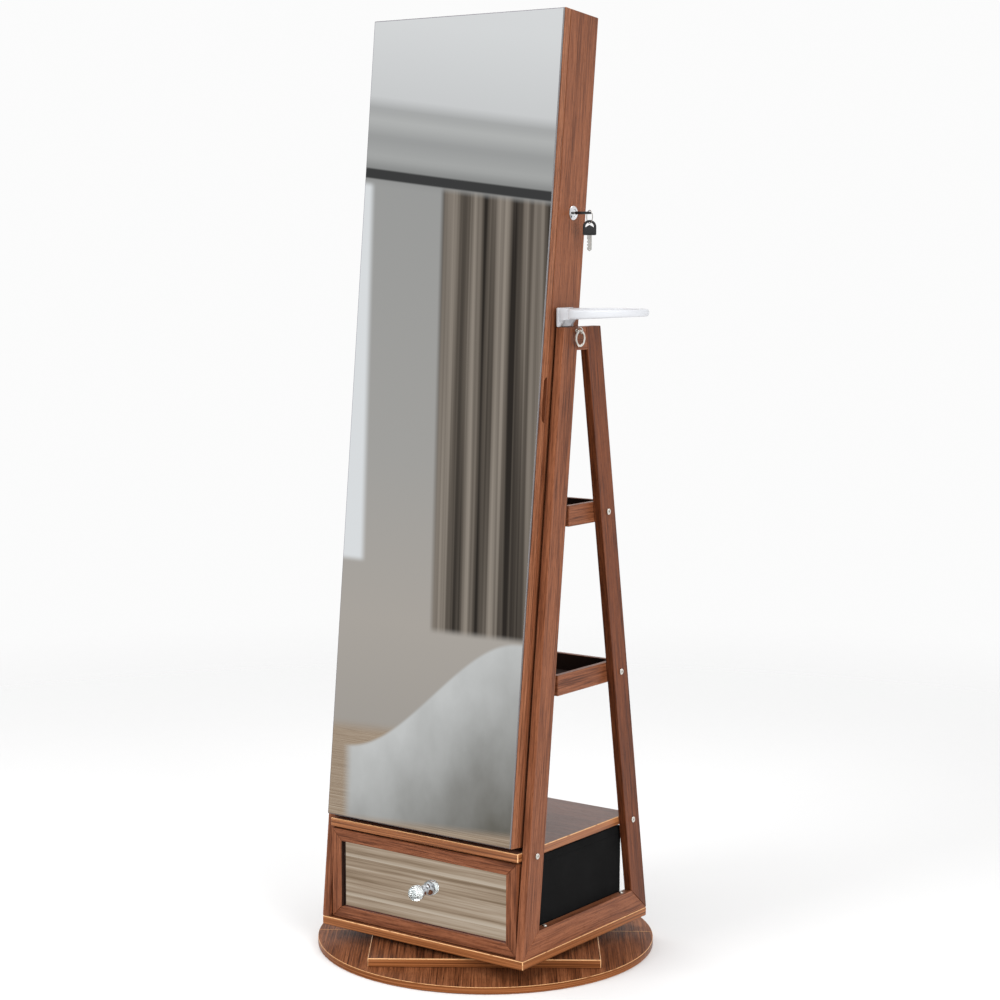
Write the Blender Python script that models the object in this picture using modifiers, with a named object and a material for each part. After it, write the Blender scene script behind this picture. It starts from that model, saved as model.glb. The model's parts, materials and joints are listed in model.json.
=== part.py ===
"""Swivel mirrored jewelry cabinet on a round turntable base.

Units are metres. X runs to the cabinet's right, Y to its back, Z up, and the origin lies on the
swivel axis at floor level. The cabinet leans back between two A-frame sides, so its own pieces are
built in a leaning frame: x to the right, y back from the mirror's face, z up along the mirror.
"""
import math

import bmesh
import bpy
from mathutils import Matrix, Vector

# Fits shared by all pieces
FIT = 0.0003
EDGE = 0.0008
BOARD_EDGE = 0.0012
FRAME_GAP = 0.0005

# Turntable base
BASE_RADIUS = 0.297
BASE_THICKNESS = 0.012
BASE_EDGE = 0.002
BASE_SEAM_BACK = 0.009
BASE_TURN = math.radians(35.5)
BASE_PLATE_SIDE = 0.395
BASE_PLATE_THICKNESS = 0.015
BEARING_SIDE = 0.150
BEARING_CORNER = 0.008
BEARING_SHEET = 0.002
BEARING_BORE = 0.040
RACE_RADIUS = 0.058
CAGE_WIDTH = 0.006
CAGE_THICKNESS = 0.001
BALL_RADIUS = 0.0014
BALL_COUNT = 14

# Stand: bottom board, A-frames, shelf and rear trays
STAND_WIDTH = 0.432
STAND_DEPTH = 0.384
BOARD = 0.015
LEAN = math.radians(6.0)
POST_WIDTH = 0.043
FRAME_HEIGHT = 1.039
RAIL_HEIGHT = 0.042
CROSS_HEIGHT = 0.038
CROSS_LENGTH = 0.022
SHELF_LIFT = 0.164
SHELF_OVERHANG = 0.012
SHELF_REAR_INSET = 0.004
LOWER_TRAY_LIFT = 0.4255
UPPER_TRAY_LIFT = 0.7080
TRAY_HEIGHT = 0.035
TRAY_WALL = 0.010
TRAY_FLOOR = 0.006
TRAY_REAR_INSET = 0.004
BOLT_RADIUS = 0.003
BOLT_HEAD_RADIUS = 0.0048
BOLT_HEAD_HEIGHT = 0.0022
BOLT_GRIP = 0.0075
BOLT_CLEARANCE = 0.0004

# Cabinet
CABINET_HEIGHT = 1.368
CABINET_DEPTH = 0.0797
SIDE_GAP = 0.005
POST_SETBACK = 0.0282
PANEL = 0.012
BACK_PANEL = 0.005
BACK_INSET = 0.004
SPACER_INSET = 0.007
SPACER_BOTTOM_SHARE = 0.25
SPACER_TOP_SHARE = 0.73

# Inside of the cabinet
SHELF_SHEET = 0.008
INNER_SHELF_SHARE = 0.175
INNER_SHELF_DEPTH = 0.055
INNER_GUARD_HEIGHT = 0.030
CUSHION_SHARE = 0.241
CUSHION_HEIGHT = 0.170
CUSHION_DEPTH = 0.022
CUSHION_ROLLS = 7
FITTING_WIDTH = 0.340
EARRING_SHARE = 0.409
EARRING_HEIGHT = 0.200
EARRING_SHEET = 0.005
EARRING_SLOTS = 4
EARRING_SLOT = 0.008
EARRING_STANDOFF = 0.012
NECKLACE_RAIL_FROM_TOP = 0.098
NECKLACE_RAIL_SECTION = 0.022
NECKLACE_RAIL_DEPTH = 0.010
PEG_COUNT = 9
PEG_RADIUS = 0.003
PEG_LENGTH = 0.030
PEG_TILT = math.radians(20)

# Door and its hinges
MIRROR = 0.004
MIRROR_INSET = 0.001
DOOR_PANEL = 0.015
DOOR_GAP = 0.001
PULL_SHARE = 0.5395
PULL_LENGTH = 0.076
PULL_RADIUS = 0.010
PULL_OFFSET = 0.003
HINGE_FROM_END = 0.180
HINGE_LENGTH = 0.060
HINGE_LEAF = 0.0015
HINGE_LEAF_WIDTH = 0.011
KNUCKLE_RADIUS = 0.003
HINGE_PIN_RADIUS = 0.0014
PIN_CLEARANCE = 0.0003

# Lock, keys and key ring
LOCK_ABOVE_FRAME = 0.1842
LOCK_BACK = 0.0422
ROSETTE_RADIUS = 0.012
ROSETTE_HEIGHT = 0.0035
BARREL_RADIUS = 0.0085
BARREL_BEHIND = 0.006
PLUG_RADIUS = 0.0055
PLUG_CLEARANCE = 0.0003
CAM_SHEET = 0.0025
CAM_HUB = 0.008
CAM_ARM = 0.004
CAM_HOOK_INNER = 0.031
CAM_HOOK_OUTER = 0.036
CAM_HOOK_SWEEP = math.radians(34)
CAM_REST = math.radians(110)
STRIKE_REACH = 0.0285
STRIKE_PIN_RADIUS = 0.0018
STRIKE_SHEET = 0.002
STRIKE_HEIGHT = 0.020
STRIKE_FLANGE = 0.014
KEY_HEAD_WIDTH = 0.022
KEY_HEAD_STRAIGHT = 0.0135
KEY_HEAD_THICKNESS = 0.004
KEY_HOLE_RADIUS = 0.0072
KEY_HOLE_BASE = -0.0010
KEY_BLADE_LENGTH = 0.026
KEY_BLADE_WIDTH = 0.0075
KEY_BLADE_THICKNESS = 0.0016
KEY_SLOT_CLEARANCE = 0.0003
KEY_NOTCHES = 3
KEY_NOTCH_DEPTH = 0.0018
KEY_STANDOFF = 0.006
KEY_RING_RADIUS = 0.0105
KEY_RING_WIRE = 0.0007
KEY_RING_SLACK = 0.0014
KEY_RING_OUT = 0.0010
KEY_RING_TURN = math.radians(-30)
SPARE_KEY_TURN = math.radians(-15)
SPARE_KEY_SLACK = 0.0009

# Drawer
DRAWER_GAP = 0.003
DRAWER_RAIL = 0.021
DRAWER_FRONT = 0.015
DRAWER_RECESS = 0.006
DRAWER_REBATE = 0.006
DRAWER_MIRROR = 0.004
MITRE_GAP = 0.0003
BIN_WALL = 0.004
BIN_DEPTH = 0.313
BIN_SIDE_GAP = 0.005
BIN_TOP_GAP = 0.003
BIN_CORNER = 0.012
BIN_TOP_CORNER = 0.014
KNOB_FOOT_RADIUS = 0.0088
KNOB_FOOT_HEIGHT = 0.0032
KNOB_BASE_LENGTH = 0.0165
KNOB_NECK_RADIUS = 0.0045
KNOB_CUP_RADIUS = 0.0128
KNOB_CUP_LIP = 0.0014
KNOB_STUD_RADIUS = 0.002
KNOB_STUD_LENGTH = 0.014
CRYSTAL_RADIUS = 0.0137
CRYSTAL_SIDES = 12

# Dryer holder and hanging ring
HOLDER_BACK = 0.046
HOLDER_PLATE_WIDTH = 0.044
HOLDER_PLATE_HEIGHT = 0.031
HOLDER_PLATE = 0.005
HOLDER_EDGE = 0.0012
HOLDER_BOSS_RADIUS = 0.005
HOLDER_BOSS_SPREAD = 0.018
HOLDER_REACH = 0.092
HOLDER_RING_OUTER = 0.065
HOLDER_RING_INNER = 0.050
HOLDER_ROOT_HEIGHT = 0.019
HOLDER_TIP_HEIGHT = 0.011
HOLDER_ARM_WIDTH = 0.040
HOLDER_RIB = 0.005
HOLDER_RIB_LENGTH = 0.017
EYE_WIRE = 0.0012
EYE_SHANK = 0.0010
EYE_LOOP = 0.0045
EYE_STEM = 0.003
EYE_SCREW = 0.010
EYE_BELOW_TOP = 0.0058
EYE_FROM_EDGE = 0.0065
RING_RADIUS = 0.0115
RING_WIRE = 0.0016

# Heights and places that follow from the sizes above
BASE_PLATE_TOP = BASE_THICKNESS + FIT + BASE_PLATE_THICKNESS
BEARING_HEIGHT = 2 * BEARING_SHEET + 2 * BALL_RADIUS + 4 * FIT
BOARD_BOTTOM = BASE_PLATE_TOP + BEARING_HEIGHT
BOARD_TOP = BOARD_BOTTOM + BOARD
FRAME_FOOT = BOARD_TOP + FIT
FRAME_TOP = FRAME_FOOT + FRAME_HEIGHT
INNER_HALF = STAND_WIDTH / 2 - BOARD
SHELF_BOTTOM = BOARD_TOP + SHELF_LIFT
SHELF_TOP = SHELF_BOTTOM + BOARD
CABINET_WIDTH = 2 * (INNER_HALF - SIDE_GAP)
DOOR_REAR = MIRROR + FIT + DOOR_PANEL
BOX_FRONT = DOOR_REAR + DOOR_GAP
BOX_REAR = BOX_FRONT + CABINET_DEPTH
CABINET_Z = SHELF_TOP + FIT + BOX_REAR * math.sin(LEAN)
FRAME_FRONT = -STAND_DEPTH / 2
CABINET_Y = FRAME_FRONT + (CABINET_Z - FRAME_FOOT) * math.tan(LEAN) - POST_SETBACK / math.cos(LEAN)
BACK_FACE = BOX_REAR - BACK_INSET - BACK_PANEL
INNER_SHELF_HEIGHT = INNER_SHELF_SHARE * CABINET_HEIGHT
CUSHION_BOTTOM = CUSHION_SHARE * CABINET_HEIGHT
EARRING_BOTTOM = EARRING_SHARE * CABINET_HEIGHT
NECKLACE_RAIL_HEIGHT = CABINET_HEIGHT - NECKLACE_RAIL_FROM_TOP
PULL_HEIGHT = PULL_SHARE * CABINET_HEIGHT
LOCK_DEPTH = BOX_FRONT + LOCK_BACK
LOCK_HEIGHT = (FRAME_TOP + LOCK_ABOVE_FRAME - CABINET_Z + LOCK_DEPTH * math.sin(LEAN)) / math.cos(LEAN)

UPRIGHT_YZ = (math.pi / 2, 0, math.pi / 2)
UPRIGHT_XZ = (math.pi / 2, 0, 0)


def clear_scene():
    for old in list(bpy.data.objects):
        bpy.data.objects.remove(old, do_unlink=True)


def new_collection(name):
    collection = bpy.data.collections.new(name)
    bpy.context.scene.collection.children.link(collection)
    return collection


clear_scene()
PARTS = new_collection("swivel_jewelry_cabinet")
TOOLS = new_collection("cutters")


def finish(name, colour, roughness, metallic=0.0):
    """Principled material with one colour."""
    made = bpy.data.materials.new(name)
    made.use_nodes = True
    shader = made.node_tree.nodes["Principled BSDF"]
    shader.inputs["Base Color"].default_value = (*colour, 1.0)
    shader.inputs["Roughness"].default_value = roughness
    shader.inputs["Metallic"].default_value = metallic
    return made


WOOD = finish("brown_wood", (0.30, 0.13, 0.08), 0.45)
DARK_WOOD = finish("dark_wood", (0.20, 0.09, 0.055), 0.5)
SILVERED = finish("mirror_glass", (0.86, 0.88, 0.90), 0.03, 1.0)
FABRIC = finish("black_fabric", (0.011, 0.011, 0.011), 0.95)
VELVET = finish("black_velvet", (0.015, 0.013, 0.013), 1.0)
NICKEL = finish("nickel", (0.72, 0.69, 0.63), 0.28, 1.0)
CHROME = finish("chrome", (0.80, 0.81, 0.82), 0.10, 1.0)
ZINC = finish("zinc_steel", (0.55, 0.55, 0.54), 0.4, 1.0)
WHITE_PLASTIC = finish("white_plastic", (0.86, 0.88, 0.91), 0.4)
BLACK_PLASTIC = finish("black_plastic", (0.012, 0.012, 0.014), 0.45)
CRYSTAL = finish("crystal", (0.93, 0.95, 0.96), 0.05)


def empty(name, at, turn=(0, 0, 0), parent=None):
    """Frame that pieces are parented to; its origin is the pieces' joint axis."""
    guide = bpy.data.objects.new(name, None)
    guide.location = at
    guide.rotation_euler = turn
    guide.parent = parent
    PARTS.objects.link(guide)
    return guide


def place(name, mesh, look, at=(0, 0, 0), turn=(0, 0, 0), parent=None):
    part = bpy.data.objects.new(name, mesh)
    part.location = at
    part.rotation_euler = turn
    part.parent = parent
    mesh.materials.append(look)
    PARTS.objects.link(part)
    return part


def tool(name, mesh, at=(0, 0, 0), turn=(0, 0, 0), parent=None):
    """Shape that is cut from a part or joined to it, and isn't a part itself."""
    shape = bpy.data.objects.new(name, mesh)
    shape.location = at
    shape.rotation_euler = turn
    shape.parent = parent
    shape.hide_render = True
    shape.display_type = "WIRE"
    TOOLS.objects.link(shape)
    return shape


def boolean(part, other, operation):
    step = part.modifiers.new(f"{operation.lower()}_{other.name}", "BOOLEAN")
    step.object = other
    step.operation = operation
    step.solver = "EXACT"


def cut(part, other):
    boolean(part, other, "DIFFERENCE")


def join(part, other):
    boolean(part, other, "UNION")


def soften(part, width=EDGE, segments=1):
    """Eased edges."""
    step = part.modifiers.new("eased_edges", "BEVEL")
    step.width = width
    step.segments = segments
    step.limit_method = "ANGLE"
    step.angle_limit = math.radians(40)


def round_shading(mesh):
    mesh.shade_smooth()
    mesh.set_sharp_from_angle(angle=math.radians(35))


def mesh_from(build, name):
    """Mesh made by a function that fills a bmesh."""
    work = bmesh.new()
    build(work)
    mesh = bpy.data.meshes.new(name)
    work.to_mesh(mesh)
    work.free()
    return mesh


def box_mesh(name, size):
    def build(work):
        bmesh.ops.create_cube(work, size=1.0)
        bmesh.ops.scale(work, vec=Vector(size), verts=work.verts)
    return mesh_from(build, name)


def box(name, low, high, look, parent=None, edge=EDGE):
    """Eased board between two corners of the parent's frame."""
    size = [b - a for a, b in zip(low, high)]
    centre = [(a + b) / 2 for a, b in zip(low, high)]
    part = place(name, box_mesh(name, size), look, at=centre, parent=parent)
    if edge:
        soften(part, edge)
    return part


def box_tool(name, low, high, parent=None):
    size = [b - a for a, b in zip(low, high)]
    centre = [(a + b) / 2 for a, b in zip(low, high)]
    return tool(name, box_mesh(name, size), at=centre, parent=parent)


def rods_mesh(name, radius, spans, sides=16):
    """Straight rods, one for each (start, end) span."""
    def build(work):
        for start, end in spans:
            run = Vector(end) - Vector(start)
            along = run.to_track_quat("Z", "Y").to_matrix().to_4x4()
            middle = Matrix.Translation((Vector(start) + Vector(end)) / 2)
            bmesh.ops.create_cone(work, cap_ends=True, segments=sides, radius1=radius, radius2=radius,
                                  depth=run.length, matrix=middle @ along)
    mesh = mesh_from(build, name)
    round_shading(mesh)
    return mesh


def arc(radius, start, end, steps, centre=(0, 0)):
    """Points of an arc, both ends included."""
    turn = (end - start) / steps
    return [(centre[0] + radius * math.cos(start + k * turn), centre[1] + radius * math.sin(start + k * turn))
            for k in range(steps + 1)]


def circle(radius, sides, centre=(0, 0)):
    return arc(radius, 0, math.tau, sides, centre)[:-1]


def rounded_rectangle(width, height, corner, steps=4):
    points = []
    for quarter, (sx, sy) in enumerate(((1, 1), (-1, 1), (-1, -1), (1, -1))):
        centre = (sx * (width / 2 - corner), sy * (height / 2 - corner))
        start = quarter * math.pi / 2
        points += arc(corner, start, start + math.pi / 2, steps, centre)
    return points


def flat_mesh(name, outlines, thickness):
    """Plate of a closed outline, with any further outlines as holes, lying in XY."""
    curve = bpy.data.curves.new(name, "CURVE")
    curve.dimensions = "2D"
    curve.fill_mode = "BOTH"
    curve.extrude = thickness / 2
    for points in outlines:
        spline = curve.splines.new("POLY")
        spline.points.add(len(points) - 1)
        spline.use_cyclic_u = True
        for point, (x, y) in zip(spline.points, points):
            point.co = (x, y, 0, 1)
    guide = bpy.data.objects.new(name, curve)
    TOOLS.objects.link(guide)
    evaluated = guide.evaluated_get(bpy.context.evaluated_depsgraph_get())
    mesh = bpy.data.meshes.new_from_object(evaluated)
    bpy.data.objects.remove(guide, do_unlink=True)
    work = bmesh.new()
    work.from_mesh(mesh)
    bmesh.ops.remove_doubles(work, verts=work.verts, dist=1e-5)
    bmesh.ops.recalc_face_normals(work, faces=work.faces)
    work.to_mesh(mesh)
    work.free()
    mesh.materials.clear()
    return mesh


def profile_mesh(name, points, closed=False):
    """Half section of a turned piece: radius and height, down its outer side."""
    edges = [(k, k + 1) for k in range(len(points) - 1)]
    if closed:
        edges.append((len(points) - 1, 0))
    mesh = bpy.data.meshes.new(name)
    mesh.from_pydata([(radius, 0, height) for radius, height in points], edges, [])
    return mesh


def spin(part, steps):
    step = part.modifiers.new("turned", "SCREW")
    step.steps = steps
    step.render_steps = steps
    step.use_merge_vertices = True
    step.merge_threshold = 0.00001
    step.use_smooth_shade = True


def torus_mesh(name, major, minor, major_sides, minor_sides):
    bpy.ops.mesh.primitive_torus_add(major_radius=major, minor_radius=minor,
                                     major_segments=major_sides, minor_segments=minor_sides)
    made = bpy.context.object
    mesh = made.data
    mesh.name = name
    bpy.data.objects.remove(made, do_unlink=True)
    mesh.shade_smooth()
    return mesh


# Turntable base

def half_disc(side):
    """Outline of one half of the base: side -1 is the front half, +1 the rear half."""
    seam = BASE_SEAM_BACK + side * FRAME_GAP / 2
    dip = math.asin(seam / BASE_RADIUS)
    steps = 48
    if side > 0:
        return arc(BASE_RADIUS, dip, math.pi - dip, steps)
    return arc(BASE_RADIUS, math.pi - dip, math.tau + dip, steps)


def build_base(base):
    for name, side in (("base_half_front", -1), ("base_half_rear", 1)):
        mesh = flat_mesh(name, [half_disc(side)], BASE_THICKNESS)
        disc = place(name, mesh, DARK_WOOD, at=(0, 0, BASE_THICKNESS / 2), parent=base)
        soften(disc, BASE_EDGE, 2)
    half = BASE_PLATE_SIDE / 2
    box("base_plate", (-half, -half, BASE_THICKNESS + FIT), (half, half, BASE_PLATE_TOP), WOOD, base,
        BOARD_EDGE)


def bearing_plate(name, bottom, parent):
    outlines = [rounded_rectangle(BEARING_SIDE, BEARING_SIDE, BEARING_CORNER), circle(BEARING_BORE, 32)]
    mesh = flat_mesh(name, outlines, BEARING_SHEET)
    place(name, mesh, ZINC, at=(0, 0, bottom + BEARING_SHEET / 2), parent=parent)


def build_bearing(base, cage, turntable):
    lower = BASE_PLATE_TOP + FIT
    race = lower + BEARING_SHEET + FIT + BALL_RADIUS
    bearing_plate("swivel_lower_plate", lower, base)
    bearing_plate("swivel_upper_plate", BOARD_BOTTOM - FIT - BEARING_SHEET, turntable)
    rings = [circle(RACE_RADIUS + CAGE_WIDTH / 2, 42), circle(RACE_RADIUS - CAGE_WIDTH / 2, 42)]
    ring = place("swivel_ball_ring", flat_mesh("ball_ring", rings, CAGE_THICKNESS), ZINC,
                 at=(0, 0, race), parent=cage)

    def balls(work):
        for x, y in circle(RACE_RADIUS, BALL_COUNT):
            bmesh.ops.create_uvsphere(work, u_segments=8, v_segments=6, radius=BALL_RADIUS,
                                      matrix=Matrix.Translation((x, y, 0)))
    join(ring, tool("bearing_balls", mesh_from(balls, "bearing_balls"), at=(0, 0, race), parent=cage))


# Stand

def front_outer(z):
    """Y of the front posts' front edge at a height."""
    return FRAME_FRONT + (z - FRAME_FOOT) * math.tan(LEAN)


def front_inner(z):
    return front_outer(z) + POST_WIDTH / math.cos(LEAN)


def rear_lean():
    """Lean of the rear posts that leaves the cross rail's length between the posts at the top."""
    reach = STAND_DEPTH / 2 - front_inner(FRAME_TOP) - CROSS_LENGTH
    return math.acos(POST_WIDTH / math.hypot(reach, FRAME_HEIGHT)) - math.atan2(FRAME_HEIGHT, reach)


REAR_LEAN = rear_lean()


def rear_outer(z):
    return STAND_DEPTH / 2 - (z - FRAME_FOOT) * math.tan(REAR_LEAN)


def rear_inner(z):
    return rear_outer(z) - POST_WIDTH / math.cos(REAR_LEAN)


def cabinet_rear(z):
    """Y of the leaning cabinet's rear face at a height."""
    return CABINET_Y + BOX_REAR / math.cos(LEAN) + (z - CABINET_Z) * math.tan(LEAN)


SHELF_BOLT = SHELF_BOTTOM + BOARD / 2
LOWER_BOLT = BOARD_TOP + LOWER_TRAY_LIFT + TRAY_HEIGHT / 2
UPPER_BOLT = BOARD_TOP + UPPER_TRAY_LIFT + TRAY_HEIGHT / 2


def post_middle(edge_a, edge_b, z):
    return (edge_a(z) + edge_b(z)) / 2


BOLTS = {
    "front_shelf_bolt": (post_middle(front_outer, front_inner, SHELF_BOLT), SHELF_BOLT),
    "rear_shelf_bolt": (post_middle(rear_outer, rear_inner, SHELF_BOLT), SHELF_BOLT),
    "lower_tray_bolt": (post_middle(rear_outer, rear_inner, LOWER_BOLT), LOWER_BOLT),
    "upper_tray_bolt": (post_middle(rear_outer, rear_inner, UPPER_BOLT), UPPER_BOLT),
}
EYE_Z = FRAME_TOP - EYE_BELOW_TOP
EYE_AT = (STAND_WIDTH / 2 + EYE_STEM + EYE_LOOP, front_inner(EYE_Z) - EYE_FROM_EDGE, EYE_Z)


def eye_hole(turntable):
    """Pilot hole of the screw eye in the right front post."""
    x, y, z = EYE_AT
    outside = STAND_WIDTH / 2 + BOARD
    inside = STAND_WIDTH / 2 - EYE_SCREW - BOLT_CLEARANCE
    mesh = rods_mesh("eye_hole", EYE_SHANK + BOLT_CLEARANCE, [((outside, y, z), (inside, y, z))], 8)
    return tool("eye_hole", mesh, parent=turntable)


def bolt_holes(side, turntable):
    """Bores through one side's posts and into the ends of the shelf and trays."""
    outside = side * (STAND_WIDTH / 2 + BOARD)
    inside = side * (INNER_HALF - FIT - BOLT_GRIP - BOLT_CLEARANCE)
    spans = [((outside, y, z), (inside, y, z)) for y, z in BOLTS.values()]
    mesh = rods_mesh("bolt_holes", BOLT_RADIUS + BOLT_CLEARANCE, spans, 12)
    return tool(f"bolt_holes_{'right' if side > 0 else 'left'}", mesh, parent=turntable)


def frame_outlines():
    """Y, Z outlines of the four pieces of an A-frame side, mitred at the foot."""
    rail_top = FRAME_FOOT + RAIL_HEIGHT
    cross = FRAME_TOP - CROSS_HEIGHT
    return {
        "front_post": [(front_outer(FRAME_FOOT), FRAME_FOOT), (front_inner(rail_top), rail_top),
                       (front_inner(FRAME_TOP), FRAME_TOP), (front_outer(FRAME_TOP), FRAME_TOP)],
        "rear_post": [(rear_outer(FRAME_FOOT), FRAME_FOOT), (rear_outer(FRAME_TOP), FRAME_TOP),
                      (rear_inner(FRAME_TOP), FRAME_TOP), (rear_inner(rail_top), rail_top)],
        "bottom_rail": [(front_outer(FRAME_FOOT) + FRAME_GAP, FRAME_FOOT),
                        (rear_outer(FRAME_FOOT) - FRAME_GAP, FRAME_FOOT),
                        (rear_inner(rail_top) - FRAME_GAP, rail_top),
                        (front_inner(rail_top) + FRAME_GAP, rail_top)],
        "cross_rail": [(front_inner(cross) + FIT, cross), (rear_inner(cross) - FIT, cross),
                       (rear_inner(FRAME_TOP) - FIT, FRAME_TOP), (front_inner(FRAME_TOP) + FIT, FRAME_TOP)],
    }


def build_frames(turntable, holes):
    for side, word in ((-1, "left"), (1, "right")):
        for piece, outline in frame_outlines().items():
            name = f"{word}_{piece}"
            board = place(name, flat_mesh(name, [outline], BOARD), WOOD,
                          at=(side * (STAND_WIDTH - BOARD) / 2, 0, 0), turn=UPRIGHT_YZ, parent=turntable)
            soften(board)
            if piece.endswith("post"):
                cut(board, holes[side])
            if name == "right_front_post":
                cut(board, eye_hole(turntable))


def tray(name, lift, turntable, holes):
    """Open wooden tray between the rear posts, its front wall against the cabinet's back."""
    bottom = BOARD_TOP + lift
    top = bottom + TRAY_HEIGHT
    half = INNER_HALF - FIT
    front = cabinet_rear(top) + FIT
    rear = rear_outer(top) - TRAY_REAR_INSET
    made = box(name, (-half, front, bottom), (half, rear, top), WOOD, turntable, BOARD_EDGE)
    room = box_tool(f"{name}_room", (-half + TRAY_WALL, front + TRAY_WALL, bottom + TRAY_FLOOR),
                    (half - TRAY_WALL, rear - TRAY_WALL, top + TRAY_HEIGHT), turntable)
    cut(made, room)
    for side in holes.values():
        cut(made, side)


def build_stand(turntable):
    half_w, half_d = STAND_WIDTH / 2, STAND_DEPTH / 2
    box("bottom_board", (-half_w, -half_d, BOARD_BOTTOM), (half_w, half_d, BOARD_TOP), WOOD, turntable,
        BOARD_EDGE)
    holes = {side: bolt_holes(side, turntable) for side in (-1, 1)}
    build_frames(turntable, holes)
    half = INNER_HALF - FIT
    shelf = box("shelf_board", (-half, shelf_front(), SHELF_BOTTOM),
                (half, rear_outer(SHELF_TOP) - SHELF_REAR_INSET, SHELF_TOP), WOOD, turntable, BOARD_EDGE)
    for side in holes.values():
        cut(shelf, side)
    tray("lower_tray", LOWER_TRAY_LIFT, turntable, holes)
    tray("upper_tray", UPPER_TRAY_LIFT, turntable, holes)


def shelf_front():
    return front_outer(SHELF_TOP) - SHELF_OVERHANG


def build_bolts(turntable):
    head_top = FIT + BOLT_HEAD_HEIGHT
    tip = -(BOARD + FIT + BOLT_GRIP)
    section = [(0, head_top), (0.6 * BOLT_HEAD_RADIUS, head_top),
               (BOLT_HEAD_RADIUS, FIT + BOLT_HEAD_HEIGHT / 2), (BOLT_HEAD_RADIUS, FIT),
               (BOLT_RADIUS, FIT), (BOLT_RADIUS, tip), (0, tip)]
    for side, word in ((-1, "left"), (1, "right")):
        for piece, (y, z) in BOLTS.items():
            name = f"{word}_{piece}"
            bolt = place(name, profile_mesh(name, section), NICKEL, at=(side * STAND_WIDTH / 2, y, z),
                         turn=(0, side * math.pi / 2, 0), parent=turntable)
            spin(bolt, 14)


# Cabinet box and what is inside it

def build_box(cabinet, lock_at):
    half = CABINET_WIDTH / 2
    inner = half - PANEL - FIT
    top = CABINET_HEIGHT
    box("cabinet_left_side", (-half, BOX_FRONT, 0), (-half + PANEL, BOX_REAR, top), WOOD, cabinet)
    right = box("cabinet_right_side", (half - PANEL, BOX_FRONT, 0), (half, BOX_REAR, top), WOOD, cabinet)
    x, y, z = lock_at
    bore = rods_mesh("lock_bore", BARREL_RADIUS + FIT, [((x - 2 * PANEL, y, z), (x + PANEL, y, z))], 24)
    cut(right, tool("lock_bore", bore, parent=cabinet))
    box("cabinet_bottom", (-inner, BOX_FRONT, 0), (inner, BOX_REAR, PANEL), WOOD, cabinet)
    box("cabinet_top", (-inner, BOX_FRONT, top - PANEL), (inner, BOX_REAR, top), WOOD, cabinet)
    box("cabinet_back", (-inner, BACK_FACE, PANEL + FIT), (inner, BACK_FACE + BACK_PANEL, top - PANEL - FIT),
        WOOD, cabinet, edge=0)
    for side, word in ((-1, "left"), (1, "right")):
        low = [min(side * (half + FIT), side * (half + SIDE_GAP - FIT)), POST_SETBACK + SPACER_INSET,
               SPACER_BOTTOM_SHARE * FRAME_HEIGHT]
        high = [low[0] + SIDE_GAP - 2 * FIT, POST_SETBACK + POST_WIDTH - SPACER_INSET,
                SPACER_TOP_SHARE * FRAME_HEIGHT]
        box(f"{word}_spacer", low, high, DARK_WOOD, cabinet, edge=0)


def build_inside(cabinet):
    inner = CABINET_WIDTH / 2 - PANEL - FIT
    back = BACK_FACE - FIT
    front = back - INNER_SHELF_DEPTH
    shelf = box("inner_shelf", (-inner, front, INNER_SHELF_HEIGHT),
                (inner, back, INNER_SHELF_HEIGHT + INNER_GUARD_HEIGHT), WOOD, cabinet)
    room = box_tool("inner_shelf_room", (-2 * inner, front + SHELF_SHEET, INNER_SHELF_HEIGHT + SHELF_SHEET),
                    (2 * inner, back + SHELF_SHEET, INNER_SHELF_HEIGHT + 2 * INNER_GUARD_HEIGHT), cabinet)
    cut(shelf, room)
    ring_cushion(back, cabinet)
    earring_board(back, cabinet)
    necklace_rail(back, cabinet)


def ring_cushion(back, cabinet):
    """Foam block with rolls across its front; rings stand in the creases between the rolls."""
    roll = CUSHION_HEIGHT / CUSHION_ROLLS
    outline = [(0, CUSHION_HEIGHT), (0, 0)]
    for k in range(CUSHION_ROLLS):
        crown = arc(roll / 2, -math.pi / 2, math.pi / 2, 6, (0, 0))
        for across, up in crown:
            outline.append((CUSHION_DEPTH - roll / 2 + across, (k + 0.5) * roll + up))
    outline = [point for k, point in enumerate(outline) if k == 0 or math.dist(point, outline[k - 1]) > 1e-6]
    mesh = flat_mesh("ring_cushion", [outline], FITTING_WIDTH)
    place("ring_cushion", mesh, VELVET, at=(0, back, CUSHION_BOTTOM),
          turn=(math.pi / 2, 0, -math.pi / 2), parent=cabinet)


def earring_board(back, cabinet):
    """Slotted board held off the back on two cleats, so that earring hooks pass behind it."""
    half = FITTING_WIDTH / 2
    front = back - EARRING_STANDOFF - EARRING_SHEET
    board = box("earring_board", (-half, front, EARRING_BOTTOM),
                (half, front + EARRING_SHEET, EARRING_BOTTOM + EARRING_HEIGHT), VELVET, cabinet, edge=0)
    pitch = EARRING_HEIGHT / (EARRING_SLOTS + 1)
    for side in (-1, 1):
        edge = side * (half - EARRING_STANDOFF / 2)
        cleat = box_tool(f"earring_cleat_{'right' if side > 0 else 'left'}",
                         (edge - EARRING_STANDOFF / 2, front + EARRING_SHEET / 2, EARRING_BOTTOM),
                         (edge + EARRING_STANDOFF / 2, back, EARRING_BOTTOM + EARRING_HEIGHT), cabinet)
        join(board, cleat)
    reach = half - 2 * EARRING_STANDOFF
    for k in range(EARRING_SLOTS):
        z = EARRING_BOTTOM + (k + 1) * pitch
        slot = box_tool(f"earring_slot_{k}", (-reach, front - EARRING_SHEET, z - EARRING_SLOT / 2),
                        (reach, front + 2 * EARRING_SHEET, z + EARRING_SLOT / 2), cabinet)
        cut(board, slot)


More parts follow.
